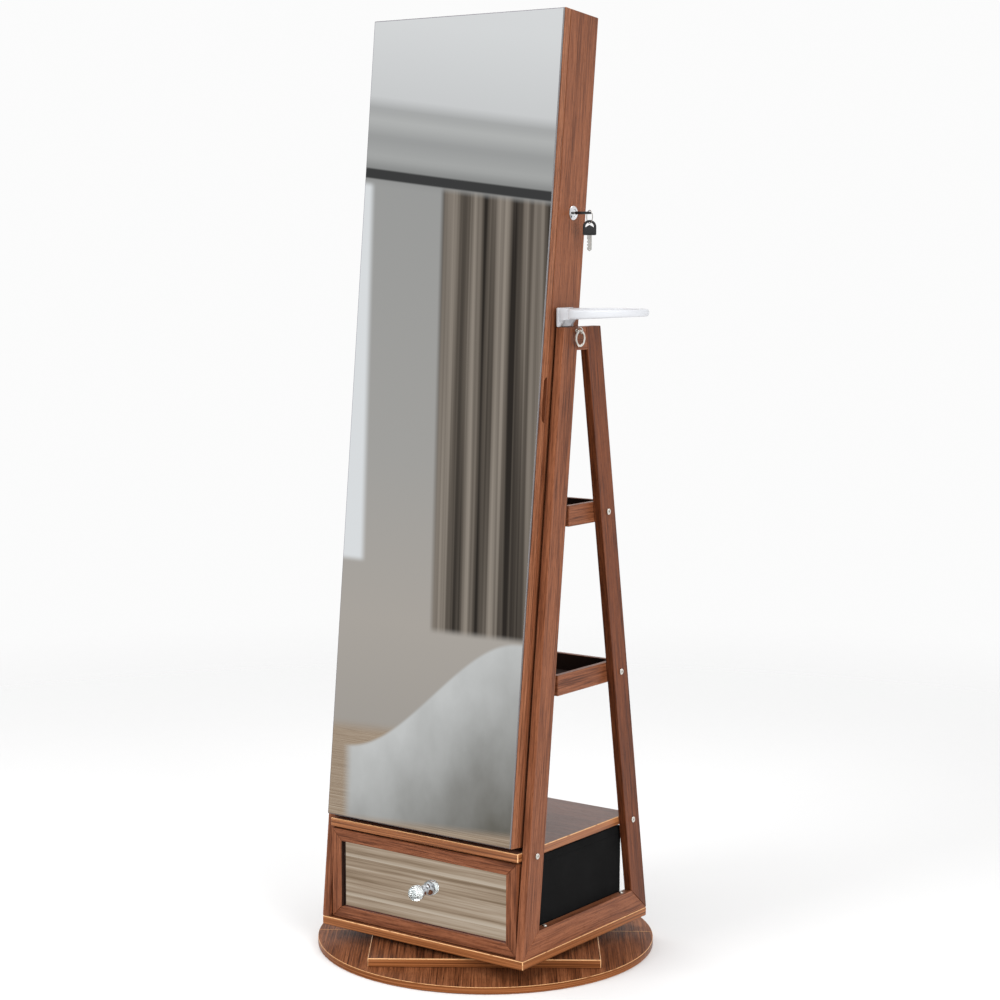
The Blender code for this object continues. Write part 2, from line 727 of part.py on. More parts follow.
def necklace_rail(back, cabinet):
    half = FITTING_WIDTH / 2
    front = back - NECKLACE_RAIL_DEPTH
    rail = box("necklace_rail", (-half, front, NECKLACE_RAIL_HEIGHT),
               (half, back, NECKLACE_RAIL_HEIGHT + NECKLACE_RAIL_SECTION), WOOD, cabinet)
    middle = NECKLACE_RAIL_HEIGHT + NECKLACE_RAIL_SECTION / 2
    pitch = FITTING_WIDTH / PEG_COUNT
    reach = PEG_LENGTH * math.cos(PEG_TILT)
    rise = PEG_LENGTH * math.sin(PEG_TILT)
    root = front + NECKLACE_RAIL_DEPTH / 2
    places = [-half + (k + 0.5) * pitch for k in range(PEG_COUNT)]
    spans = [((x, root, middle), (x, root - reach, middle + rise)) for x in places]
    join(rail, tool("necklace_pegs", rods_mesh("necklace_pegs", PEG_RADIUS, spans, 10), parent=cabinet))


# Door

def build_door(door, axis_x, axis_y):
    """Door panel and mirror, in the frame of the hinge axis."""
    left = -CABINET_WIDTH / 2 - axis_x
    right = CABINET_WIDTH / 2 - axis_x
    rear = DOOR_REAR - axis_y
    panel = box("door_panel", (left, rear - DOOR_PANEL, 0), (right, rear, CABINET_HEIGHT), WOOD, door)
    straight = PULL_LENGTH / 2 - PULL_RADIUS
    section = [(x, z + straight) for x, z in arc(PULL_RADIUS, math.pi / 2, 0, 4)]
    section += [(x, z - straight) for x, z in arc(PULL_RADIUS, 0, -math.pi / 2, 4)]
    section[0] = (0, section[0][1])
    section[-1] = (0, section[-1][1])
    pull = tool("finger_pull", profile_mesh("finger_pull", section),
                at=(right + PULL_OFFSET, rear, PULL_HEIGHT), parent=door)
    spin(pull, 16)
    cut(panel, pull)
    front = -axis_y
    box("door_mirror", (left + MIRROR_INSET, front, MIRROR_INSET),
        (right - MIRROR_INSET, front + MIRROR, CABINET_HEIGHT - MIRROR_INSET), SILVERED, door)


def hinge_leaf(name, parent, height, side, knuckles, pin):
    """Leaf in the frame of the hinge axis: side +1 lies back on the cabinet, -1 forward on the door."""
    inside = KNUCKLE_RADIUS - FIT / 2
    outside = inside - HINGE_LEAF
    near = KNUCKLE_RADIUS + FIT
    far = near + HINGE_LEAF_WIDTH
    low_y, high_y = (near, far) if side > 0 else (-far, -near)
    leaf = box(name, (outside, low_y, height - HINGE_LENGTH / 2), (inside, high_y, height + HINGE_LENGTH / 2),
               NICKEL, parent, edge=0)
    spans = [((0, 0, a), (0, 0, b)) for a, b in knuckles]
    for number, (a, b) in enumerate(knuckles):
        web_y = (0, near + FIT) if side > 0 else (-near - FIT, 0)
        join(leaf, box_tool(f"{name}_web_{number}", (outside + FIT, web_y[0], a), (inside - FIT, web_y[1], b),
                            parent))
    join(leaf, tool(f"{name}_knuckles", rods_mesh(name, KNUCKLE_RADIUS, spans, 16), parent=parent))
    bottom, top = height - HINGE_LENGTH / 2, height + HINGE_LENGTH / 2
    if pin:
        rod = rods_mesh(name, HINGE_PIN_RADIUS, [((0, 0, bottom + FIT), (0, 0, top - FIT))], 12)
        join(leaf, tool(f"{name}_pin", rod, parent=parent))
    else:
        bore = rods_mesh(name, HINGE_PIN_RADIUS + PIN_CLEARANCE, [((0, 0, bottom), (0, 0, top))], 12)
        cut(leaf, tool(f"{name}_bore", bore, parent=parent))


def build_hinges(cabinet_side, door):
    third = HINGE_LENGTH / 3
    for word, height in (("lower", HINGE_FROM_END), ("upper", CABINET_HEIGHT - HINGE_FROM_END)):
        bottom = height - HINGE_LENGTH / 2
        outer = [(bottom, bottom + third - FIT), (bottom + 2 * third + FIT, bottom + HINGE_LENGTH)]
        inner = [(bottom + third, bottom + 2 * third)]
        hinge_leaf(f"{word}_hinge_frame_leaf", cabinet_side, height, 1, outer, pin=True)
        hinge_leaf(f"{word}_hinge_door_leaf", door, height, -1, inner, pin=False)


# Lock and keys; x runs out of the cabinet's right side, from its face

def build_lock_housing(lock):
    bore = PLUG_RADIUS + PLUG_CLEARANCE
    inner_end = -(PANEL + BARREL_BEHIND)
    section = [(bore, ROSETTE_HEIGHT), (0.7 * ROSETTE_RADIUS, ROSETTE_HEIGHT),
               (0.92 * ROSETTE_RADIUS, 0.7 * ROSETTE_HEIGHT), (ROSETTE_RADIUS, FIT + EDGE),
               (ROSETTE_RADIUS, FIT), (BARREL_RADIUS, FIT), (BARREL_RADIUS, inner_end), (bore, inner_end)]
    housing = place("lock_housing", profile_mesh("lock_housing", section, closed=True), CHROME,
                    turn=(0, math.pi / 2, 0), parent=lock)
    spin(housing, 24)


def cam_outline():
    """Hook cam seen along the lock axis: hub, arm along +x and a hook that leads clockwise."""
    shoulder = math.asin(CAM_ARM / CAM_HUB)
    inner = math.asin(CAM_ARM / CAM_HOOK_INNER)
    outer = math.asin(CAM_ARM / CAM_HOOK_OUTER)
    points = arc(CAM_HUB, shoulder, math.tau - shoulder, 14)
    points += arc(CAM_HOOK_INNER, -inner, -CAM_HOOK_SWEEP, 5)
    points += arc(CAM_HOOK_OUTER, -CAM_HOOK_SWEEP, outer, 8)
    return points


def build_plug(plug):
    """Plug with the keyway and the hook cam on its inner end."""
    front = ROSETTE_HEIGHT - EDGE
    cam_out = -(PANEL + BARREL_BEHIND + 2 * FIT)
    cam_in = cam_out - CAM_SHEET
    body = rods_mesh("lock_plug", PLUG_RADIUS, [((cam_in + FIT, 0, 0), (front, 0, 0))], 24)
    part = place("lock_plug", body, CHROME, parent=plug)
    facing_forward = Matrix(((0, 0, 1), (-1, 0, 0), (0, 1, 0)))
    turn = Matrix.Rotation(-(CAM_REST + LEAN), 3, "X") @ facing_forward
    cam = tool("lock_cam", flat_mesh("lock_cam", [cam_outline()], CAM_SHEET),
               at=(cam_in + CAM_SHEET / 2, 0, 0), turn=turn.to_euler(), parent=plug)
    join(part, cam)
    width = KEY_BLADE_WIDTH / 2 + KEY_SLOT_CLEARANCE
    height = KEY_BLADE_THICKNESS / 2 + KEY_SLOT_CLEARANCE
    depth = key_head_start() - KEY_BLADE_LENGTH - KEY_SLOT_CLEARANCE
    cut(part, box_tool("keyway", (depth, -width, -height), (front + KEY_STANDOFF, width, height), plug))


def key_head_start():
    return ROSETTE_HEIGHT + KEY_STANDOFF


def key_mesh(name):
    """Key along +x with its head's straight edge at the origin and its blade at negative x."""
    half = KEY_HEAD_WIDTH / 2
    crown = (KEY_HEAD_STRAIGHT, 0)
    head = [(0, half), (0, -half)] + arc(half, -math.pi / 2, math.pi / 2, 12, crown)
    reach = math.acos(KEY_HOLE_BASE / KEY_HOLE_RADIUS)
    hole = arc(KEY_HOLE_RADIUS, -reach, reach, 10, crown)
    return flat_mesh(name, [head, hole], KEY_HEAD_THICKNESS)


def key_blade(name):
    """Blade outline with the bitting cut into one edge."""
    half = KEY_BLADE_WIDTH / 2
    tip = -KEY_BLADE_LENGTH
    root = KEY_HEAD_THICKNESS
    points = [(root, -half), (root, half)]
    pitch = KEY_BLADE_LENGTH / (KEY_NOTCHES + 2)
    for k in range(KEY_NOTCHES):
        middle = -(k + 1.5) * pitch
        points += [(middle + pitch / 3, half), (middle, half - KEY_NOTCH_DEPTH), (middle - pitch / 3, half)]
    points += [(tip + half, half), (tip, 0), (tip + half, -half)]
    return flat_mesh(name, [points], KEY_BLADE_THICKNESS)


def key(name, at, turn, parent):
    made = place(name, key_mesh(name), BLACK_PLASTIC, at=at, turn=turn, parent=parent)
    join(made, tool(f"{name}_blade", key_blade(name), at=at, turn=turn, parent=parent))


def key_rim():
    """Middle of the head's rim beyond the hole, where the key ring hangs."""
    return key_head_start() + KEY_HEAD_STRAIGHT + (KEY_HOLE_RADIUS + KEY_HEAD_WIDTH / 2) / 2


def build_keys(key_frame, ring_frame):
    key("key", (key_head_start(), 0, 0), (0, 0, 0), key_frame)
    drop = KEY_RING_RADIUS - KEY_RING_WIRE - KEY_RING_SLACK - KEY_HEAD_THICKNESS / 2
    mesh = torus_mesh("key_ring", KEY_RING_RADIUS, KEY_RING_WIRE, 28, 8)
    place("key_ring", mesh, NICKEL, at=(KEY_RING_OUT, 0, -drop), turn=(math.pi / 2, 0, 0), parent=ring_frame)
    wire = -drop - KEY_RING_RADIUS
    crown = wire + KEY_RING_WIRE + SPARE_KEY_SLACK - KEY_HOLE_RADIUS
    head_up = Matrix(((0, 0, 1), (0, -1, 0), (1, 0, 0)))
    turn = Matrix.Rotation(SPARE_KEY_TURN, 3, "Z") @ head_up
    key("spare_key", (KEY_RING_OUT, 0, crown - KEY_HEAD_STRAIGHT), turn.to_euler(), ring_frame)


def build_strike(door, lock_local, axis_x, axis_y):
    """Bracket on the door's rear face, with the pin that the cam hooks."""
    x, y, z = (lock_local[0] - axis_x, lock_local[1] - axis_y, lock_local[2])
    rear = DOOR_REAR - axis_y
    pin_y = y - STRIKE_REACH
    cam_in = x - (PANEL + BARREL_BEHIND + 2 * FIT) - CAM_SHEET
    web = cam_in - 2 * CAM_SHEET
    half = STRIKE_HEIGHT / 2
    back = pin_y + 2 * STRIKE_PIN_RADIUS
    strike = box("lock_strike", (web - STRIKE_SHEET, rear + FIT, z - half), (web, back, z + half), ZINC, door,
                 edge=0)
    flange = box_tool("strike_flange", (web - STRIKE_FLANGE, rear + FIT, z - half),
                      (web - STRIKE_SHEET / 2, rear + FIT + STRIKE_SHEET, z + half), door)
    pin = rods_mesh("strike_pin", STRIKE_PIN_RADIUS,
                    [((web - STRIKE_SHEET / 2, pin_y, z), (cam_in + 2 * CAM_SHEET, pin_y, z))], 12)
    join(strike, flange)
    join(strike, tool("strike_pin", pin, parent=door))


# Drawer

def build_drawer(drawer):
    half = INNER_HALF - DRAWER_GAP
    low, high = BOARD_TOP + DRAWER_GAP / 2, SHELF_BOTTOM - DRAWER_GAP
    front = shelf_front()
    rear = front + DRAWER_FRONT
    rebate = DRAWER_RAIL - DRAWER_REBATE
    mirror_front = front + DRAWER_RECESS
    pane = (-half + rebate + FIT, mirror_front, low + rebate + FIT)
    pane_far = (half - rebate - FIT, mirror_front + DRAWER_MIRROR, high - rebate - FIT)
    seat = box_tool("mirror_rebate", (-half + rebate, mirror_front - FIT, low + rebate),
                    (half - rebate, rear + DRAWER_FRONT, high - rebate), drawer)
    for name, outline in drawer_rails(half, low, high).items():
        rail = place(name, flat_mesh(name, [outline], DRAWER_FRONT), WOOD,
                     at=(0, (front + rear) / 2, 0), turn=UPRIGHT_XZ, parent=drawer)
        soften(rail)
        cut(rail, seat)
    mirror = box("drawer_mirror", pane, pane_far, SILVERED, drawer, edge=0)
    bin_front = rear + FIT
    middle = (low + high) / 2
    stud = rods_mesh("knob_hole", KNOB_STUD_RADIUS + BOLT_CLEARANCE,
                     [((0, front - DRAWER_FRONT, middle), (0, bin_front + 2 * BIN_WALL, middle))], 12)
    knob_hole = tool("knob_hole", stud, parent=drawer)
    cut(mirror, knob_hole)
    build_bin(drawer, bin_front, knob_hole)
    build_knob(drawer, mirror_front, middle)


def drawer_rails(half, low, high):
    """X, Z outlines of the drawer front's four rails, mitred at the corners."""
    side = half - DRAWER_RAIL
    floor, ceiling = low + DRAWER_RAIL, high - DRAWER_RAIL
    gap = MITRE_GAP * math.sqrt(2)
    return {
        "drawer_bottom_rail": [(-half + gap, low), (half - gap, low), (side - gap, floor),
                               (-side + gap, floor)],
        "drawer_top_rail": [(-side + gap, ceiling), (side - gap, ceiling), (half - gap, high),
                            (-half + gap, high)],
        "drawer_left_rail": [(-half, low), (-side, floor), (-side, ceiling), (-half, high)],
        "drawer_right_rail": [(half, low), (half, high), (side, ceiling), (side, floor)],
    }


def build_bin(drawer, front, knob_hole):
    """Open bin behind the drawer front, with rounded upright corners and a rounded top at the rear."""
    half = INNER_HALF - BIN_SIDE_GAP
    bottom, top = BOARD_TOP + FIT, SHELF_BOTTOM - BIN_TOP_GAP
    middle = (0, front + BIN_DEPTH / 2, (bottom + top) / 2)
    outline = rounded_rectangle(2 * half, BIN_DEPTH, BIN_CORNER)
    made = place("drawer_bin", flat_mesh("drawer_bin", [outline], top - bottom), FABRIC, at=middle,
                 parent=drawer)
    inner = rounded_rectangle(2 * (half - BIN_WALL), BIN_DEPTH - 2 * BIN_WALL, BIN_CORNER - BIN_WALL)
    room = tool("bin_room", flat_mesh("bin_room", [inner], top - bottom),
                at=(0, middle[1], middle[2] + BIN_WALL), parent=drawer)
    cut(made, room)
    rear = front + BIN_DEPTH
    round_off = arc(BIN_TOP_CORNER, math.pi / 2, 0, 6, (rear - BIN_TOP_CORNER, top - BIN_TOP_CORNER))
    outside = [(rear + BIN_TOP_CORNER, top - BIN_TOP_CORNER), (rear + BIN_TOP_CORNER, top + BIN_TOP_CORNER),
               (rear - BIN_TOP_CORNER, top + BIN_TOP_CORNER)]
    waste = flat_mesh("bin_top_waste", [round_off + outside], 2 * INNER_HALF)
    cut(made, tool("bin_top_waste", waste, turn=UPRIGHT_YZ, parent=drawer))
    cut(made, knob_hole)


def build_knob(drawer, face, height):
    """Metal base with a round foot on the drawer's mirror, and a faceted crystal ball in its flared cup."""
    foot, neck, cup = KNOB_FOOT_RADIUS, KNOB_NECK_RADIUS, KNOB_CUP_RADIUS
    length, step = KNOB_BASE_LENGTH, KNOB_FOOT_HEIGHT
    flare = length - KNOB_CUP_LIP - step
    section = [(0, length), (cup, length)]
    for k in range(7):
        turn = k * math.pi / 12
        section.append((neck + (cup - neck) * (1 - math.sin(turn)), step + flare * math.cos(turn)))
    section += [(foot - EDGE, step), (foot, step - EDGE), (foot, FIT), (KNOB_STUD_RADIUS, FIT),
                (KNOB_STUD_RADIUS, -KNOB_STUD_LENGTH), (0, -KNOB_STUD_LENGTH)]
    base = place("knob_base", profile_mesh("knob_base", section), CHROME, at=(0, face, height),
                 turn=(math.pi / 2, 0, 0), parent=drawer)
    spin(base, 20)
    seat = math.sqrt(CRYSTAL_RADIUS ** 2 - KNOB_CUP_RADIUS ** 2)

    def ball(work):
        bmesh.ops.create_uvsphere(work, u_segments=CRYSTAL_SIDES, v_segments=8, radius=CRYSTAL_RADIUS)
        sliced = bmesh.ops.bisect_plane(work, geom=work.verts[:] + work.edges[:] + work.faces[:],
                                        plane_co=(0, 0, -seat), plane_no=(0, 0, -1), clear_outer=True)
        rim = [item for item in sliced["geom_cut"] if isinstance(item, bmesh.types.BMEdge)]
        bmesh.ops.edgeloop_fill(work, edges=rim)
        bmesh.ops.recalc_face_normals(work, faces=work.faces)
    place("knob_crystal", mesh_from(ball, "knob_crystal"), CRYSTAL,
          at=(0, face - length - FIT - seat, height), turn=(math.pi / 2, 0, 0), parent=drawer)


# Dryer holder and hanging ring

def build_holder(turntable):
    """Ring on an arm, screwed to the cabinet's side just above the A-frame."""
    low = FRAME_TOP + FRAME_GAP
    high = low + HOLDER_PLATE_HEIGHT
    y = CABINET_Y + HOLDER_BACK / math.cos(LEAN) + (high - CABINET_Z) * math.tan(LEAN)
    face = INNER_HALF
    holder = box("dryer_holder", (face, y - HOLDER_PLATE_WIDTH / 2, low),
                 (face + HOLDER_PLATE, y + HOLDER_PLATE_WIDTH / 2, high), WHITE_PLASTIC, turntable,
                 HOLDER_EDGE)
    centre = CABINET_WIDTH / 2 + HOLDER_REACH
    root = face + HOLDER_PLATE / 2
    ring = holder_ring(root, centre)
    join(holder, tool("holder_ring", ring, at=(0, y, high - EDGE), parent=turntable))
    arm_middle = high - HOLDER_ROOT_HEIGHT / 2
    profile = [(root, low + EDGE), (face + HOLDER_PLATE, low + EDGE), (root + HOLDER_RIB_LENGTH, arm_middle),
               (root, arm_middle)]
    for side, word in ((-1, "front"), (1, "rear")):
        rib = flat_mesh(f"holder_{word}_rib", [profile], HOLDER_RIB)
        rib_y = y + side * (HOLDER_ARM_WIDTH / 2 - HOLDER_RIB)
        join(holder, tool(f"holder_{word}_rib", rib, at=(0, rib_y, 0), turn=UPRIGHT_XZ, parent=turntable))
    middle = (low + high) / 2
    spans = [((CABINET_WIDTH / 2 + FIT, y + s * HOLDER_BOSS_SPREAD / 2, middle),
              (face + HOLDER_PLATE / 2, y + s * HOLDER_BOSS_SPREAD / 2, middle)) for s in (-1, 1)]
    bosses = rods_mesh("holder_bosses", HOLDER_BOSS_RADIUS, spans)
    join(holder, tool("holder_bosses", bosses, parent=turntable))


def holder_ring(root, centre):
    """Ring and arm in one outline, its top at z = 0 and its underside rising to the tip."""
    half = HOLDER_ARM_WIDTH / 2
    meet = math.asin(half / HOLDER_RING_OUTER)
    outline = [(root, half), (root, -half)]
    outline += arc(HOLDER_RING_OUTER, meet - math.pi, math.pi - meet, 40, (centre, 0))
    mesh = flat_mesh("holder_ring", [outline, circle(HOLDER_RING_INNER, 36, (centre, 0))], HOLDER_ROOT_HEIGHT)
    tip = centre + HOLDER_RING_OUTER
    run = tip - root
    rise = HOLDER_ROOT_HEIGHT - HOLDER_TIP_HEIGHT
    work = bmesh.new()
    work.from_mesh(mesh)
    bmesh.ops.translate(work, vec=(0, 0, -HOLDER_ROOT_HEIGHT / 2), verts=work.verts)
    for vert in work.verts:
        if vert.co.z < -HOLDER_ROOT_HEIGHT / 2:
            vert.co.z += rise * (vert.co.x - root) / run
    work.to_mesh(mesh)
    work.free()
    round_shading(mesh)
    return mesh


def build_hanging_ring(turntable, ring_frame):
    """Screw eye near the top of the right front post, and the ring that hangs in it."""
    x, y, z = EYE_AT
    eye = place("ring_eye", torus_mesh("ring_eye", EYE_LOOP, EYE_WIRE, 20, 8), NICKEL, at=EYE_AT,
                turn=(math.pi / 2, 0, 0), parent=turntable)
    tip = x - EYE_LOOP - EYE_STEM - EYE_SCREW
    stem = rods_mesh("eye_stem", EYE_SHANK, [((x - EYE_LOOP - EYE_WIRE / 3, y, z), (tip, y, z))], 10)
    join(eye, tool("eye_stem", stem, parent=turntable))
    mesh = torus_mesh("hanging_ring", RING_RADIUS, RING_WIRE, 36, 10)
    place("hanging_ring", mesh, NICKEL, at=(0, 0, -RING_RADIUS), turn=(0, math.pi / 2, 0), parent=ring_frame)


def main():
    base = empty("base_frame", (0, 0, 0), (0, 0, BASE_TURN))
    cage = empty("ball_ring_axis", (0, 0, 0))
    turntable = empty("swivel_axis", (0, 0, 0))
    build_base(base)
    build_bearing(base, cage, turntable)
    build_stand(turntable)
    build_bolts(turntable)

    cabinet = empty("cabinet_frame", (0, CABINET_Y, CABINET_Z), (-LEAN, 0, 0), turntable)
    lock_at = (CABINET_WIDTH / 2, LOCK_DEPTH, LOCK_HEIGHT)
    build_box(cabinet, lock_at)
    build_inside(cabinet)

    axis_x = -CABINET_WIDTH / 2 - KNUCKLE_RADIUS - FIT
    axis_y = DOOR_REAR + DOOR_GAP / 2
    cabinet_side = empty("hinge_frame", (axis_x, axis_y, 0), parent=cabinet)
    door = empty("door_axis", (axis_x, axis_y, 0), parent=cabinet)
    build_door(door, axis_x, axis_y)
    build_hinges(cabinet_side, door)
    build_strike(door, lock_at, axis_x, axis_y)

    lock = empty("lock_axis", lock_at, (LEAN, 0, 0), cabinet)
    plug = empty("plug_axis", (0, 0, 0), parent=lock)
    key_frame = empty("key_slide", (0, 0, 0), parent=plug)
    ring_frame = empty("key_ring_axis", (key_rim(), 0, 0), (0, 0, KEY_RING_TURN), key_frame)
    build_lock_housing(lock)
    build_plug(plug)
    build_keys(key_frame, ring_frame)

    drawer = empty("drawer_slide", (0, 0, 0), parent=turntable)
    build_drawer(drawer)

    build_holder(turntable)
    hang = EYE_LOOP - EYE_WIRE - RING_WIRE - FIT
    ring_axis = empty("hanging_ring_axis", (EYE_AT[0], EYE_AT[1], EYE_AT[2] - hang), parent=turntable)
    build_hanging_ring(turntable, ring_axis)


main()
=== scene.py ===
"""Looks of the swivel mirrored jewelry cabinet: finishes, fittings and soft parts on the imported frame.

Units are metres in the frame's own axes: X to the cabinet's right, Y to its back, Z up from the floor.
"""
import json
from math import acos, atan2, cos, pi, radians, sin, sqrt, tan, tau

import bmesh
import bpy
from mathutils import Euler, Matrix, Vector
from mathutils import noise as pattern


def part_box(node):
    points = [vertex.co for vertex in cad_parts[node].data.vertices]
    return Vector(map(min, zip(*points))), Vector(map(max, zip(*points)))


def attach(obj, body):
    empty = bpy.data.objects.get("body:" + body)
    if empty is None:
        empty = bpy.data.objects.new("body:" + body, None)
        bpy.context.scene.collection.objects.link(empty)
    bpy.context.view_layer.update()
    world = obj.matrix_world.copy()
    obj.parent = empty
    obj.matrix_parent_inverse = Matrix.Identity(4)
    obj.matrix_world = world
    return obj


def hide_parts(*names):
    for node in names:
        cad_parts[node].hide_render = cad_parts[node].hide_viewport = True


# The photograph's camera, solved from the board edges
CAMERA_AT = (2.2306, -3.0608, 1.2234)
CAMERA_YAW = radians(36.675)
CAMERA_PITCH = radians(8.334)
CAMERA_LENS = 79.33
CAMERA_SHIFT = (0.03655, 0.06695)

# How the part is turned and how its members lean
BASE_TURN = radians(35.5)
REAR_LEAN = radians(9.0)

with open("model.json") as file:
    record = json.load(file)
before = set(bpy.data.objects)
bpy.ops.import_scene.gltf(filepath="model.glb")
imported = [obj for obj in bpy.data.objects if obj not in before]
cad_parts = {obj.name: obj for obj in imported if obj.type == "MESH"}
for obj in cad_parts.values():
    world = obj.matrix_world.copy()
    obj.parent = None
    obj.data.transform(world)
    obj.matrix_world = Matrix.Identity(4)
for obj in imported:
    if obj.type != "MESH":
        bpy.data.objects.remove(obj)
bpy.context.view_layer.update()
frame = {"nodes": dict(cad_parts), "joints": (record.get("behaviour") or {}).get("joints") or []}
NODES = frame["nodes"]
JOINTS = {joint["name"]: joint for joint in frame["joints"]}
DOOR_AXIS = Vector(JOINTS["door"]["axis"])
LEAN = atan2(-DOOR_AXIS.y, -DOOR_AXIS.z)
# Leaning frame of the cabinet, from the foot of its door's hinge axis
CABINET = Matrix.Translation(JOINTS["door"]["pos_m"]) @ Matrix.Rotation(-LEAN, 4, "X")

# Linear colours
WALNUT = ((0.076, 0.0220, 0.0088), (0.190, 0.0620, 0.0262), (0.274, 0.101, 0.047))
# Walnut made lighter for the door panel: a painted highlight
LIT_DOOR_WALNUT = ((0.104, 0.0340, 0.0150), (0.258, 0.0960, 0.0450), (0.370, 0.156, 0.080))
# Walnut made darker for the rear posts: painted shade
SHADED_REAR_WALNUT = ((0.044, 0.0105, 0.0036), (0.121, 0.0335, 0.0115), (0.186, 0.055, 0.020))
SHELF_WALNUT = ((0.105, 0.044, 0.028), (0.150, 0.066, 0.044), (0.195, 0.090, 0.062))
DARK_WALNUT = ((0.038, 0.0105, 0.0041), (0.192, 0.065, 0.0258), (0.350, 0.137, 0.060))
BANDING = ((0.120, 0.036, 0.0100), (0.255, 0.087, 0.0270), (0.370, 0.142, 0.051))
DISC_BANDING = ((0.100, 0.030, 0.0085), (0.195, 0.065, 0.021), (0.290, 0.106, 0.039))
# Tan of the painted highlight along the boards' arrises
ARRIS_HIGHLIGHT_TAN = (0.74, 0.42, 0.20)
FELT_BLACK = (0.0085, 0.0080, 0.0078)
# Dark brown painted shade on the drawer rails' inner faces, in the drawer front's recess
RECESS_SHADE_BROWN = (0.016, 0.0075, 0.0050)
# Dark inside of the trays: partly felt lining, partly painted shade on the inner walls
TRAY_FELT_AND_SHADE = (0.0135, 0.0075, 0.0058)
SILVER = (0.88, 0.90, 0.91)
GROUND_EDGE = (0.20, 0.19, 0.195)
SILVER_LINE = (0.25, 0.225, 0.30)


# Materials and their nodes

def paint(node, look):
    """Gives a CAD node its finish."""
    slots = NODES[node].data.materials
    slots.clear()
    slots.append(look)


def new_material(name):
    """Material, its shader, and the place and normal of the surface in the frame at rest."""
    made = bpy.data.materials.new(name)
    made.use_nodes = True
    surface = add(made.node_tree, "ShaderNodeTexCoord")
    return made, made.node_tree.nodes["Principled BSDF"], surface["Object"], surface["Normal"]


def connect(node, inputs):
    """Sets a node's inputs, or links them where the value is another node's output."""
    for key, value in inputs.items():
        if isinstance(value, bpy.types.NodeSocket):
            node.id_data.links.new(value, node.inputs[key])
        else:
            node.inputs[key].default_value = value


def add(tree, kind, inputs=None, **settings):
    """Outputs of a new node with its properties set and its inputs set or linked."""
    node = tree.nodes.new(kind)
    for key, value in settings.items():
        setattr(node, key, value)
    connect(node, inputs or {})
    return node.outputs


def calc(operation, *values):
    """Math node in the tree of the values that are outputs of other nodes."""
    linked = [value for value in values if isinstance(value, bpy.types.NodeSocket)]
    return add(linked[0].id_data, "ShaderNodeMath", dict(enumerate(values)), operation=operation)[0]


def plus(first, second):
    return calc("ADD", first, second)


def minus(first, second):
    return calc("SUBTRACT", first, second)


def times(first, second):
    return calc("MULTIPLY", first, second)


def step(value, low, high):
    """Smooth rise from 0 at low to 1 at high."""
    inputs = {"Value": value, "From Min": low, "From Max": high}
    return add(value.id_data, "ShaderNodeMapRange", inputs, interpolation_type="SMOOTHSTEP")[0]


def band(value, low, high, soft):
    """1 between two values with soft ends, 0 outside."""
    return times(step(value, low - soft, low + soft), step(value, high + soft, high - soft))


def mix(share, first, second):
    """Mix of two colours, given or from other nodes."""
    first, second = [shade(end) if isinstance(end, tuple) else end for end in (first, second)]
    return add(share.id_data, "ShaderNodeMix", {0: share, 6: first, 7: second}, data_type="RGBA")[2]


def shade(colour, share=1.0):
    """Colour with its alpha, darker or lighter."""
    return (*(share * part for part in colour[:3]), 1.0)


def ramp(value, stops):
    made = add(value.id_data, "ShaderNodeValToRGB", {0: value})[0]
    elements = made.node.color_ramp.elements
    while len(elements) < len(stops):
        elements.new(0.5)
    for element, (place, colour) in zip(elements, stops):
        element.position = place
        element.color = shade(colour)
    return made


def along(vector, axis):
    """Dot product of a vector and a fixed axis."""
    made = add(vector.id_data, "ShaderNodeVectorMath", {0: vector, 1: axis}, operation="DOT_PRODUCT")
    return made["Value"]


def noise(point, size, turn=(0, 0, 0), shift=(0, 0, 0), detail=2.0, roughness=0.5):
    """Noise with features of one size in metres, or of three sizes along a turned frame."""
    sizes = size if isinstance(size, tuple) else (size, size, size)
    place = {"Vector": point, "Location": shift, "Rotation": turn, "Scale": sizes}
    mapped = add(point.id_data, "ShaderNodeMapping", place, vector_type="TEXTURE")
    inputs = {"Vector": mapped[0], "Scale": 1.0, "Detail": detail, "Roughness": roughness}
    return add(point.id_data, "ShaderNodeTexNoise", inputs)[0]


def bump(shader, height, distance, strength):
    inputs = {"Height": height, "Distance": distance, "Strength": strength}
    connect(shader, {"Normal": add(height.id_data, "ShaderNodeBump", inputs)[0]})


# Wood

GRAIN_UP = (0, 0, 0)
GRAIN_BACK = (-pi / 2, 0, 0)
GRAIN_ACROSS = (0, pi / 2, 0)
GRAIN_CABINET = (-LEAN, 0, 0)
GRAIN_REAR_POST = (REAR_LEAN, 0, 0)
GRAIN_BASE = tuple((Matrix.Rotation(BASE_TURN, 3, "Z") @ Euler(GRAIN_BACK).to_matrix()).to_euler())
# Width and length of the figure's broad bands, streaks and pores
BROAD_SIZE = (0.018, 0.55)
STREAK_SIZE = (0.0023, 0.075)
PORE_SIZE = (0.0010, 0.012)
BROAD_SHARE = 0.30
PORE_RANGE = (0.56, 0.66)
PORE_SHARE = 0.50
GRAIN_DEPTH = 0.00012
# Shift of the figure from one board to the next
SEED_SHIFT = (0.37, 0.53, 0.29)
# Values of the figure at its dark, middle and light tones
WOOD_STOPS = (0.385, 0.50, 0.63)
EDGE_STOPS = (0.34, 0.50, 0.66)
EDGE_STREAK = (0.30, 0.30, 0.0021)
# Size of the noise that breaks the painted arris highlight into patches
HIGHLIGHT_BREAK_SIZE = 0.012
FLOCK_SIZE = 0.0009


